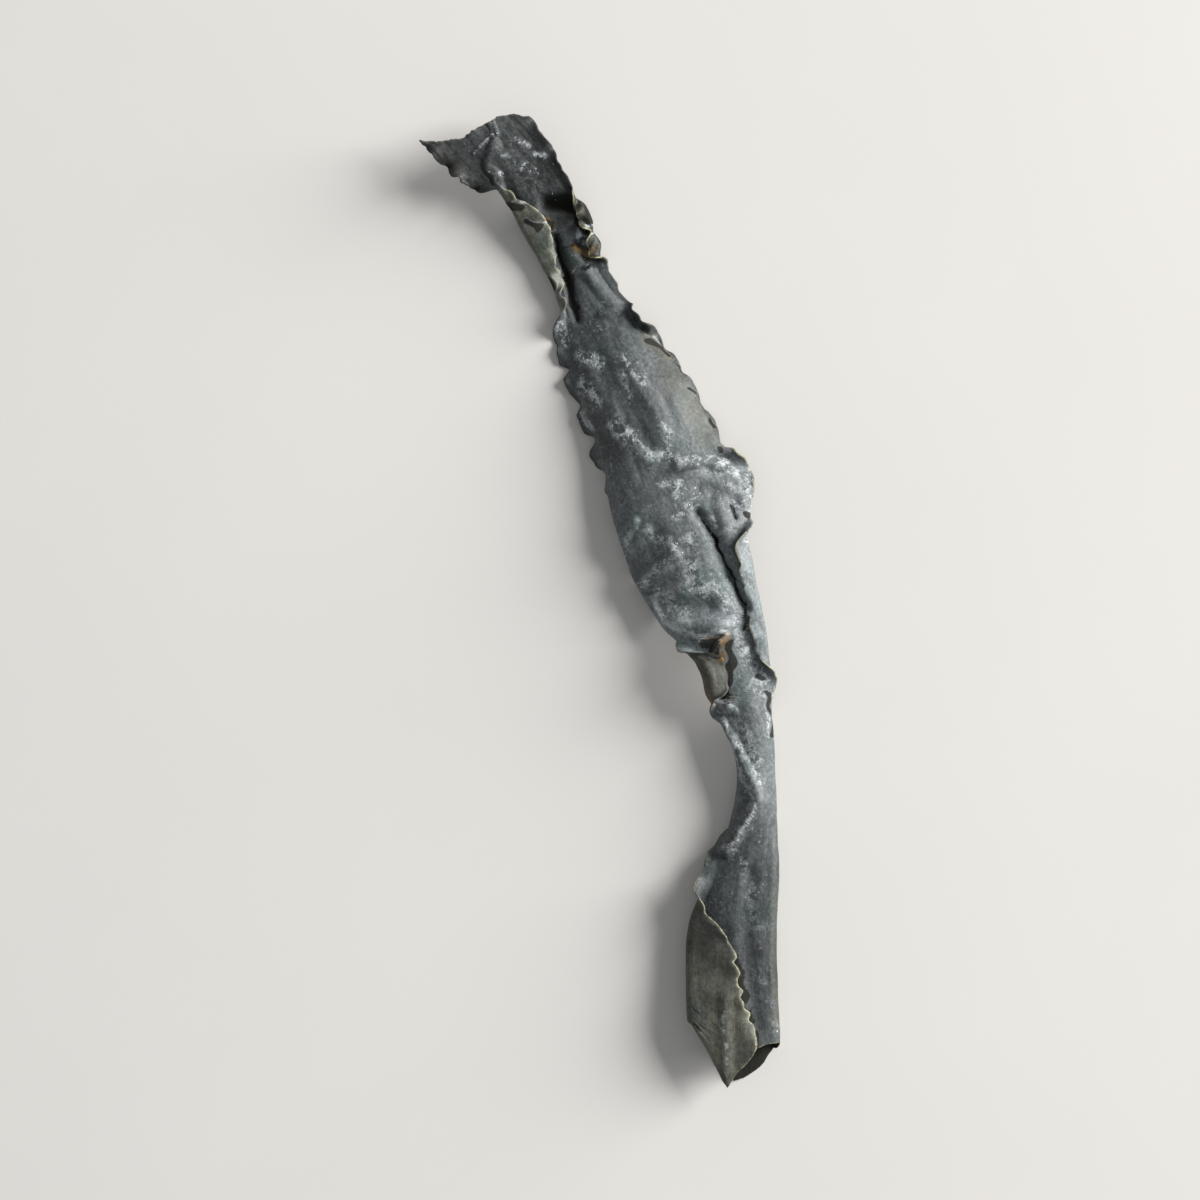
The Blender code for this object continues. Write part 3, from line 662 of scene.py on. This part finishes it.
def sampled(grid, rows):
    """Each column of the grid read at its own fractional row numbers."""
    low = np.clip(np.floor(rows).astype(int), 0, grid.shape[0] - 2)
    column = np.arange(grid.shape[1])[None, :]
    share = rows - low
    if grid.ndim == 3:
        share = share[:, :, None]
    return grid[low, column] * (1 - share) + grid[low + 1, column] * share


def row_places(first, last, count):
    """Where each row crosses each column, from one end to the other, with rows closer where the
    ruffles are fine. The rows run straight across but for their slant near the ends."""
    place = np.arange(first.mean(), last.mean(), SECTION_STEP)
    rows = np.cumsum(1 / keyed(ROW_SPACING, place))
    even = np.interp(np.linspace(rows[0], rows[-1], count + 1), rows, place)[:, None]
    from_top = np.clip(1 - (even - even[0]) / END_BLEND, 0, 1) ** 2
    from_foot = np.clip(1 - (even[-1] - even) / END_BLEND, 0, 1) ** 2
    return even + (first - even[0]) * from_top + (last - even[-1]) * from_foot


def surface_normals(grid):
    """The direction out of the smooth face at each point of the grid."""
    down, right = np.gradient(grid, axis=0), np.gradient(grid, axis=1)
    return unit(np.cross(unit(down), unit(right)))


def wobbled(along, across):
    """The places moved a little, so that what is drawn on the blade runs unevenly."""
    sideways = noise_at(along / WOBBLE_SIZE, across / WOBBLE_SIZE, WOBBLE_SEED)
    onwards = noise_at(along / WOBBLE_SIZE, across / WOBBLE_SIZE, -WOBBLE_SEED)
    return along + WOBBLE_REACH * onwards, across + WOBBLE_REACH * sideways


# The strongest of the places at each point; it draws stains and dust, and also painted shade in the hollows.
def stain_and_shade(places, along, across):
    strength = np.zeros(np.shape(along))
    for path, half_width, amount in places:
        strength = np.maximum(strength, amount * mark(along, across, path, half_width))
    return strength


def rim_tone(place, flat, side_distance, end_distance, end_tone):
    """How pale or dark the nearest free edge is."""
    sides = np.where(flat < 0, keyed(LEFT.rim, place), keyed(RIGHT.rim, place))
    return np.where(end_distance < side_distance, end_tone, sides)


def blade_surface(shape):
    """The middle surface of the blade as a grid of points in millimetres, with what is known of each."""
    along = np.arange(0, spine_length(), SECTION_STEP)
    points, across, flat, fold, edge = cross_sections(along, shape.columns)
    first = keyed(TOP_END, flat[int(TOP_END_SECTION / SECTION_STEP)])
    last = keyed(LOWER_END, flat[int(LOWER_END_SECTION / SECTION_STEP)])
    first += torn(flat[0], TOP_TEAR_SEED)
    last += torn(flat[-1], LOWER_TEAR_SEED)
    place = row_places(first, last, shape.rows)
    rows = place / SECTION_STEP
    grid = sampled(points, rows)
    across, flat, fold, edge = (sampled(table, rows) for table in (across, flat, fold, edge))
    grid[:, :, 2] += relief(place, across)

    ends = np.minimum(place - first, last - place)
    ends_tone = np.where(place - first < last - place, TOP_RIM, LOWER_RIM)
    free_edge = np.clip(np.minimum(edge, ends), 0, RIM_LIMIT)
    crease = noise_at(place / CREASE_LENGTH, flat / CREASE_WIDTH, CREASE_SEED)
    pits = noise_at(place / PIT_SIZE, flat / PIT_SIZE, PIT_SEED)
    crumple = noise_at(place / CRUMPLE_SIZE, flat / CRUMPLE_SIZE, CRUMPLE_SEED)
    crumpled = np.clip(1 - edge / CRUMPLE_BAND, 0, 1)
    creased = 1 - 2 * np.abs(crease) + PIT_SHARE * pits + CRUMPLE_SHARE * crumple * crumpled
    calm = np.clip((last - place) / CREASE_FADE, LEAST_CREASE, 1)
    lift = shape.crease_height / MM * creased * calm
    grid += surface_normals(grid) * lift[:, :, None]
    grid[:, :, 2] = np.maximum(grid[:, :, 2], LEAST_HEIGHT)
    drawn = wobbled(place, across)
    marks = {
        "edge_distance": free_edge,
        "rim_tone": rim_tone(place, flat, edge, ends, ends_tone),
        "amber": stain_and_shade(AMBER_PLACES, *drawn),
        # Painted shade in folds, grooves and pockets; on the open blade it fades out as the margin turns, on
        # flaps it has its own places.
        "hollow_shade": np.where(
            fold < FLAP_FOLD,
            stain_and_shade(HOLLOW_SHADE_PLACES, *drawn) * np.clip((FLAP_FOLD - fold) / FOLD_BLEND, 0, 1),
            stain_and_shade(FLAP_HOLLOW_SHADE_PLACES, *drawn),
        ),
        "crest": stain_and_shade(CREST_PLACES, *drawn),
        # Painted light and shade along the strip, partly the blade's own tone.
        "shade": keyed(SMOOTH_SHADES, place),
        "bloom": stain_and_shade(BLOOM_PLACES, *drawn),
        "olive": stain_and_shade(OLIVE_PLACES, *drawn),
    }
    grey = keyed(GREY_UNDER, place) * (flat > 0)
    # The under faces get their own painted light and shade, partly their own tone; the curls by the neck on
    # the right are painted dark.
    under_shade = np.where(flat < 0, keyed(LEFT_UNDER_SHADES, place), keyed(RIGHT_UNDER_SHADES, place))
    inside_tube = (flat > 0) & (fold > FLAP_FOLD) & (place > TUBE_START)
    under_marks = {
        **marks,
        # The inside of the flattened tube is painted dark as shade on the under face.
        "hollow_shade": np.maximum(marks["hollow_shade"], inside_tube),
        "shade": under_shade * (1 - grey) + marks["shade"] * grey,
        "bloom": marks["bloom"] * grey,
        "olive": 1 - grey,
    }
    return grid, place, flat, marks, under_marks


def closed_blade(grid, half):
    """Corners and faces of the blade, thickened by half to both sides."""
    rows, columns = grid.shape[:2]
    normal = surface_normals(grid) * half[:, :, None]
    corners = np.concatenate([(grid + normal).reshape(-1, 3), (grid - normal).reshape(-1, 3)])
    number = np.arange(rows * columns).reshape(rows, columns)
    under = rows * columns
    a, b, c, d = number[:-1, :-1], number[:-1, 1:], number[1:, 1:], number[1:, :-1]
    upper = np.stack([a, d, c, b], axis=-1).reshape(-1, 4)
    outlines = (
        (number[1:, 0], number[:-1, 0]),
        (number[:-1, -1], number[1:, -1]),
        (number[0, :-1], number[0, 1:]),
        (number[-1, 1:], number[-1, :-1]),
    )
    rims = [np.stack([start, end, end + under, start + under], axis=-1) for start, end in outlines]
    return corners, np.concatenate([upper, upper[:, ::-1] + under, *rims])


def add_attribute(mesh, name, values):
    attribute = mesh.attributes.new(name, "FLOAT", "POINT")
    attribute.data.foreach_set("value", np.asarray(values, np.float32).ravel())


def add_strip_map(mesh, place, flat):
    """A map of the flattened blade: across it, then along it, the same on both faces."""
    flattened = np.stack([np.tile(flat.ravel(), 2), np.tile(place.ravel(), 2)], axis=1) / MAP_UNIT
    loops = np.empty(len(mesh.loops), int)
    mesh.loops.foreach_get("vertex_index", loops)
    layer = mesh.uv_layers.new(name="along_strip")
    layer.data.foreach_set("uv", flattened[loops].astype(np.float32).ravel())


def feed(tree, socket, source):
    """Links a socket to the output that feeds it, or sets its value."""
    if isinstance(source, bpy.types.NodeSocket):
        tree.links.new(source, socket)
    else:
        socket.default_value = source


def add(tree, kind, inputs=None, **settings):
    """Adds a node with its settings, and with its inputs as values or as the outputs that feed them."""
    made = tree.nodes.new(kind)
    for name, value in settings.items():
        setattr(made, name, value)
    for key, source in (inputs or {}).items():
        feed(tree, made.inputs[key], source)
    return made


def times(tree, first, second, clamped=True):
    """The product, kept from 0 to 1 if it is clamped."""
    inputs = {0: first, 1: second}
    return add(tree, "ShaderNodeMath", inputs, operation="MULTIPLY", use_clamp=clamped).outputs[0]


def plus(tree, base, value, share, clamped=False):
    """The base with a share of the value added."""
    inputs = {0: value, 1: share, 2: base}
    return add(tree, "ShaderNodeMath", inputs, operation="MULTIPLY_ADD", use_clamp=clamped).outputs[0]


def ramp(tree, value, low, high):
    """0 below low and 1 above high, or the other way round, with a smooth step between."""
    limits = {"Value": value, "From Min": low, "From Max": high}
    return add(tree, "ShaderNodeMapRange", limits, interpolation_type="SMOOTHSTEP").outputs["Result"]


def rescaled(tree, value, low, high, least, most):
    """From least to most as the value goes from low to high."""
    limits = {"Value": value, "From Min": low, "From Max": high, "To Min": least, "To Max": most}
    return add(tree, "ShaderNodeMapRange", limits).outputs["Result"]


def opaque(colour):
    return (*colour, 1.0)


def mixed(tree, share, first, second, mode="MIX"):
    """One colour over another."""
    made = add(tree, "ShaderNodeMix", {"Factor": share}, data_type="RGBA", blend_type=mode)
    feed(tree, made.inputs[6], first)
    feed(tree, made.inputs[7], second)
    return made.outputs[2]


def covered(tree, colour, layers):
    """The colour under each layer in turn: its own colour, where it lies and how far it covers there."""
    for tint, cover, share in layers:
        colour = mixed(tree, times(tree, cover, share), colour, opaque(tint))
    return colour


def pattern(tree, place, size, detail, roughness, stretch=None):
    """Noise with features of that size, in the units of the place that it reads."""
    if stretch:
        place = add(tree, "ShaderNodeVectorMath", {0: place, 1: stretch}, operation="MULTIPLY").outputs[0]
    inputs = {"Vector": place, "Scale": 1 / size, "Detail": detail, "Roughness": roughness}
    return add(tree, "ShaderNodeTexNoise", inputs).outputs["Fac"]


def patterned(tree, place, name):
    """One of the named patterns, as a share from 0 to 1."""
    size, detail, roughness, low, high = PATTERNS[name]
    return ramp(tree, pattern(tree, place, size * MM, detail, roughness), low, high)


def crack(tree, value):
    """How far the noise is from its middle: near 0 along thin winding lines."""
    away = add(tree, "ShaderNodeMath", {0: value, 1: 0.5}, operation="SUBTRACT").outputs[0]
    return add(tree, "ShaderNodeMath", {0: away}, operation="ABSOLUTE").outputs[0]


def attribute(tree, name):
    return add(tree, "ShaderNodeAttribute", attribute_name=name).outputs["Fac"]


def new_material(name):
    material = bpy.data.materials.new(name)
    material.use_nodes = True
    tree = material.node_tree
    place = add(tree, "ShaderNodeTexCoord").outputs["Object"]
    return material, tree, tree.nodes["Principled BSDF"], place


def roughen(tree, surface, height, strength, depth):
    """Gives the surface bumps of that depth."""
    bump = add(tree, "ShaderNodeBump", {"Strength": strength, "Distance": depth * MM, "Height": height})
    feed(tree, surface.inputs["Normal"], bump.outputs["Normal"])


def kelp_material(colours):
    """Blue-grey blade with frost, streaks, flecks, olive under face, pale rims and painted shade in its
    folds.
    """
    material, tree, surface, place = new_material("dried_kelp")
    strip = add(tree, "ShaderNodeUVMap", uv_map="along_strip").outputs["UV"]
    edge, tone = attribute(tree, "edge_distance"), attribute(tree, "rim_tone")
    blotch, mottle, teal = (patterned(tree, place, name) for name in ("blotch", "mottle", "teal"))
    streak = ramp(tree, pattern(tree, strip, 1, 4, 0.6, STREAKS), 0.48, 0.70)
    vein = ramp(tree, crack(tree, pattern(tree, place, 4.5 * MM, 3, 0.6)), 0.022, 0.004)
    speck = times(tree, patterned(tree, place, "speck"), patterned(tree, place, "patch"))
    grit = pattern(tree, place, 0.7 * MM, 4, 0.7)

    blade = mixed(tree, blotch, opaque(colours.deep), opaque(colours.middle))
    on_blade = (
        (colours.light, streak, 0.45),
        (colours.light, mottle, 0.30),
        (colours.teal, teal, 0.5),
        (colours.light, vein, 0.45),
        (colours.bloom, speck, 0.5),
    )
    back = mixed(tree, blotch, opaque(colours.olive_deep), opaque(colours.olive))
    on_back = ((colours.light, mottle, 0.28), (colours.teal, teal, 0.2))
    olive = attribute(tree, "olive")
    colour = mixed(tree, olive, covered(tree, blade, on_blade), covered(tree, back, on_back))
    # Painted light and shade along the strip, partly the blade's own tone, made uneven by the grit.
    shade = times(tree, attribute(tree, "shade"), rescaled(tree, grit, 0.3, 0.7, 0.6, 1.4), clamped=False)
    colour = mixed(tree, 1.0, colour, shade, "MULTIPLY")

    frosted = times(tree, patterned(tree, place, "frost"), attribute(tree, "bloom"))
    # Pale lines along the crests: salt, and on some ridge tops partly a painted highlight.
    crest = times(tree, ramp(tree, attribute(tree, "crest"), 0.1, 0.7), ramp(tree, grit, 0.36, 0.56))
    rim = times(tree, ramp(tree, edge, *PALE_RIM), patterned(tree, place, "broken"))
    # A dark line along the free edges whose rim tone is dark.
    dark_rim = times(tree, ramp(tree, edge, *DARK_RIM), times(tree, tone, -1.0))
    # Painted shade in the folds, grooves and pockets, broken up by the grit; roughness rises there too.
    hollow_shade = ramp(tree, plus(tree, attribute(tree, "hollow_shade"), grit, 0.5), 0.42, 0.74)
    on_top = (
        (colours.bloom, frosted, 0.52),
        (colours.bloom, frosted, patterned(tree, place, "grains")),
        (colours.bloom, crest, 0.75),
        (colours.amber, attribute(tree, "amber"), patterned(tree, place, "thin")),
        (colours.rim, rim, tone),
        (colours.dark_rim, dark_rim, 0.8),
        (colours.hollow_shade, hollow_shade, 0.94),
    )
    feed(tree, surface.inputs["Base Color"], covered(tree, colour, on_top))

    rough = plus(tree, rescaled(tree, mottle, 0.0, 1.0, 0.50, 0.66), frosted, 0.25)
    feed(tree, surface.inputs["Roughness"], plus(tree, rough, hollow_shade, 0.5, clamped=True))
    surface.inputs["Specular IOR Level"].default_value = 0.42
    grain = pattern(tree, place, 0.8 * MM, 5, 0.65)
    fibre = pattern(tree, strip, 1, 4, 0.6, FIBRES)
    height = plus(tree, plus(tree, grain, fibre, 0.8), frosted, 0.5)
    roughen(tree, surface, height, 0.55, BLADE_BUMP)
    return material


def bloom_material(colours):
    """Dull white crystals with a grey cast."""
    material, tree, surface, place = new_material("salt_bloom")
    cloud = patterned(tree, place, "crystals")
    dark = [DARKEST_CRYSTAL * value for value in colours.bloom]
    feed(tree, surface.inputs["Base Color"], mixed(tree, cloud, opaque(dark), opaque(colours.bloom)))
    surface.inputs["Roughness"].default_value = 0.62
    roughen(tree, surface, cloud, 0.4, CRYSTAL_BUMP)
    return material


def table_material(colour):
    """A matt pale table top with a faint unevenness."""
    material, tree, surface, place = new_material("pale_table")
    dark = [DARKEST_TABLE * value for value in colour]
    cloud = patterned(tree, place, "table")
    feed(tree, surface.inputs["Base Color"], mixed(tree, cloud, opaque(dark), opaque(colour)))
    surface.inputs["Roughness"].default_value = 0.85
    surface.inputs["Specular IOR Level"].default_value = 0.2
    return material


def link_object(name, data):
    made = bpy.data.objects.new(name, data)
    bpy.context.scene.collection.objects.link(made)
    return made


def random_vector(tree, least, most, seed):
    inputs = {"Min": least, "Max": most, "Seed": seed}
    return add(tree, "FunctionNodeRandomValue", inputs, data_type="FLOAT_VECTOR").outputs[0]


def flake_tree():
    """Geometry nodes that lay flakes over the frosted parts of the blade that face upwards."""
    tree = bpy.data.node_groups.new("salt_flakes", "GeometryNodeTree")
    tree.is_modifier = True
    sockets = (
        ("Blade", "Geometry"), ("Flake size", "Float"), ("Density", "Float"), ("Clump size", "Float"),
        ("Seed", "Int"), ("Material", "Material"),
    )
    for name, kind in sockets:
        tree.interface.new_socket(name=name, in_out="INPUT", socket_type="NodeSocket" + kind)
    tree.interface.new_socket(name="Flakes", in_out="OUTPUT", socket_type="NodeSocketGeometry")
    given = add(tree, "NodeGroupInput").outputs

    bloom = add(tree, "GeometryNodeInputNamedAttribute", {"Name": "bloom"}, data_type="FLOAT").outputs[0]
    spacing = add(tree, "ShaderNodeMath", {0: 1.0, 1: given["Clump size"]}, operation="DIVIDE").outputs[0]
    clumps = add(tree, "ShaderNodeTexNoise", {"Scale": spacing, "Detail": 3.0, "Roughness": 0.6})
    gathered = ramp(tree, clumps.outputs["Fac"], 0.50, 0.66)
    facing = add(tree, "ShaderNodeSeparateXYZ", {0: add(tree, "GeometryNodeInputNormal").outputs[0]})
    upwards = ramp(tree, facing.outputs["Z"], 0.1, 0.4)
    share = times(tree, times(tree, gathered, bloom), upwards)
    density = times(tree, share, given["Density"], clamped=False)
    scattered = add(
        tree, "GeometryNodeDistributePointsOnFaces",
        {"Mesh": given["Blade"], "Density": density, "Seed": given["Seed"]},
    ).outputs
    flake = add(tree, "GeometryNodeMeshIcoSphere", {"Radius": 0.5, "Subdivisions": 1}).outputs["Mesh"]
    spread = random_vector(tree, LEAST_FLAKE, MOST_FLAKE, given["Seed"])
    scaled = {0: spread, "Scale": given["Flake size"]}
    size = add(tree, "ShaderNodeVectorMath", scaled, operation="SCALE").outputs[0]
    angles = random_vector(tree, LEAST_TURN, MOST_TURN, given["Seed"])
    spin = add(tree, "FunctionNodeEulerToRotation", {0: angles}).outputs[0]
    turned = {0: scattered["Rotation"], 1: spin}
    lying = add(tree, "FunctionNodeRotateRotation", turned, rotation_space="LOCAL").outputs[0]
    placed = {"Points": scattered["Points"], "Instance": flake, "Rotation": lying, "Scale": size}
    laid = add(tree, "GeometryNodeInstanceOnPoints", placed).outputs["Instances"]
    whole = add(tree, "GeometryNodeRealizeInstances", {0: laid}).outputs[0]
    finished = add(tree, "GeometryNodeSetMaterial", {"Geometry": whole, "Material": given["Material"]})
    add(tree, "NodeGroupOutput", {"Flakes": finished.outputs["Geometry"]})
    return tree


def set_inputs(modifier, values):
    """Sets a geometry nodes modifier's inputs by the identifiers of their sockets."""
    for item in modifier.node_group.interface.items_tree:
        if item.name in values:
            modifier[item.identifier] = values[item.name]


class KELP_OT_blade(bpy.types.Operator):
    """Build the dried blade as a fine closed mesh that stands for the solid"""

    bl_idname = "kelp.blade"
    bl_label = "Blade"

    def execute(self, context):
        shape = context.scene.kelp_shape
        grid, place, flat, marks, under_marks = blade_surface(shape)
        thinned = np.clip(marks["edge_distance"] / THIN_BAND, 0, 1)
        half = shape.thickness / MM / 2 * (THIN_SHARE + (1 - THIN_SHARE) * thinned)
        corners, faces = closed_blade(grid, half)
        corners[:, 2] = np.maximum(corners[:, 2], 0.0)
        low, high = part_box(SOLID)
        middle = (np.array(low) + np.array(high)) / 2 / MM
        own = (corners.min(axis=0) + corners.max(axis=0)) / 2
        shift = np.array([middle[0] - own[0], middle[1] - own[1], -corners[:, 2].min()])
        mesh = bpy.data.meshes.new("kelp_blade")
        mesh.from_pydata(((corners + shift) * MM).tolist(), [], faces.tolist())
        mesh.shade_smooth()
        add_strip_map(mesh, place, flat)
        for name, values in marks.items():
            add_attribute(mesh, name, np.stack([values, under_marks[name]]))
        mesh.materials.append(kelp_material(context.scene.kelp_colours))
        blade = link_object("kelp_blade", mesh)
        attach(blade, "root")
        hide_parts(SOLID)
        return {"FINISHED"}


class KELP_OT_salt_bloom(bpy.types.Operator):
    """Scatter flakes of dried salt over the blade"""

    bl_idname = "kelp.salt_bloom"
    bl_label = "Salt bloom"

    def execute(self, context):
        settings = context.scene.kelp_bloom
        carrier = link_object("salt_bloom", bpy.data.objects["kelp_blade"].data.copy())
        scatter = carrier.modifiers.new("flakes", "NODES")
        scatter.node_group = flake_tree()
        values = {
            "Flake size": settings.flake_size,
            "Density": settings.density,
            "Clump size": settings.clump_size,
            "Seed": settings.seed,
            "Material": bloom_material(context.scene.kelp_colours),
        }
        set_inputs(scatter, values)
        evaluated = carrier.evaluated_get(context.evaluated_depsgraph_get())
        flakes = bpy.data.meshes.new_from_object(evaluated)
        if not flakes.polygons:
            raise RuntimeError("no salt flake fell on the blade")
        carrier.modifiers.remove(scatter)
        carrier.data = flakes
        flakes.shade_flat()
        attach(carrier, "root")
        return {"FINISHED"}


class KELP_OT_table(bpy.types.Operator):
    """Set the table, the soft light and the camera"""

    bl_idname = "kelp.table"
    bl_label = "Table, light and camera"

    def execute(self, context):
        settings = context.scene.kelp_table
        outline = ((-1, -1), (1, -1), (1, 1), (-1, 1))
        corners = [(x * TABLE_REACH, y * TABLE_REACH, -TABLE_DROP) for x, y in outline]
        mesh = bpy.data.meshes.new("table_top")
        mesh.from_pydata(corners, [], [(0, 1, 2, 3)])
        mesh.materials.append(table_material(settings.floor_colour))
        table = link_object("table_top", mesh)

        world = bpy.data.worlds.new("soft_daylight")
        world.use_nodes = True
        sky = world.node_tree.nodes["Background"]
        sky.inputs["Color"].default_value = opaque(SKY_COLOUR)
        sky.inputs["Strength"].default_value = settings.fill_strength
        context.scene.world = world

        light = bpy.data.lights.new("key_light", "AREA")
        light.shape = "RECTANGLE"
        light.size = light.size_y = KEY_SIZE
        light.energy = settings.key_power
        light.color = KEY_COLOUR
        key = link_object("key_light", light)
        key.location = KEY_PLACE
        key.rotation_euler = Vector(KEY_PLACE).to_track_quat("Z", "Y").to_euler()

        camera = bpy.data.cameras.new("camera")
        camera_object = link_object("camera", camera)
        low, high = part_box(SOLID)
        middle = (low + high) / 2
        aside = CAMERA_LEAN * settings.camera_height
        stand = Vector((middle.x + aside, middle.y, settings.camera_height))
        away = stand - middle
        camera_object.location = stand
        camera_object.rotation_euler = (0, math.atan2(away.x, away.z), 0)
        camera.lens = camera.sensor_width * away.length / settings.frame_width
        context.scene.camera = camera_object
        context.scene.view_settings.view_transform = "Standard"
        return {"FINISHED"}


class KELP_PT_sidebar(bpy.types.Panel):
    """The strip's settings and the buttons that build it"""

    bl_idname = "KELP_PT_sidebar"
    bl_label = "Dried kelp strip"
    bl_space_type = "VIEW_3D"
    bl_region_type = "UI"
    bl_category = "Kelp"

    def draw(self, context):
        scene = context.scene
        for title, group, operator in (
            ("Blade", scene.kelp_shape, KELP_OT_blade),
            ("Colours", scene.kelp_colours, None),
            ("Salt bloom", scene.kelp_bloom, KELP_OT_salt_bloom),
            ("Table", scene.kelp_table, KELP_OT_table),
        ):
            box = self.layout.box()
            box.label(text=title)
            for name in group.__annotations__:
                box.prop(group, name)
            if operator:
                box.operator(operator.bl_idname)


GROUPS = {
    "kelp_shape": KelpShape,
    "kelp_colours": KelpColours,
    "kelp_bloom": SaltBloom,
    "kelp_table": TableTop,
}
OPERATORS = (KELP_OT_blade, KELP_OT_salt_bloom, KELP_OT_table)


def register():
    for made in (*GROUPS.values(), *OPERATORS, KELP_PT_sidebar):
        bpy.utils.register_class(made)
    for name, group in GROUPS.items():
        setattr(bpy.types.Scene, name, bpy.props.PointerProperty(type=group))


def unregister():
    for name in GROUPS:
        delattr(bpy.types.Scene, name)
    for made in (KELP_PT_sidebar, *OPERATORS, *GROUPS.values()):
        bpy.utils.unregister_class(made)


def main():
    register()
    bpy.ops.kelp.blade()
    bpy.ops.kelp.salt_bloom()
    bpy.ops.kelp.table()


if __name__ == "__main__":
    main()
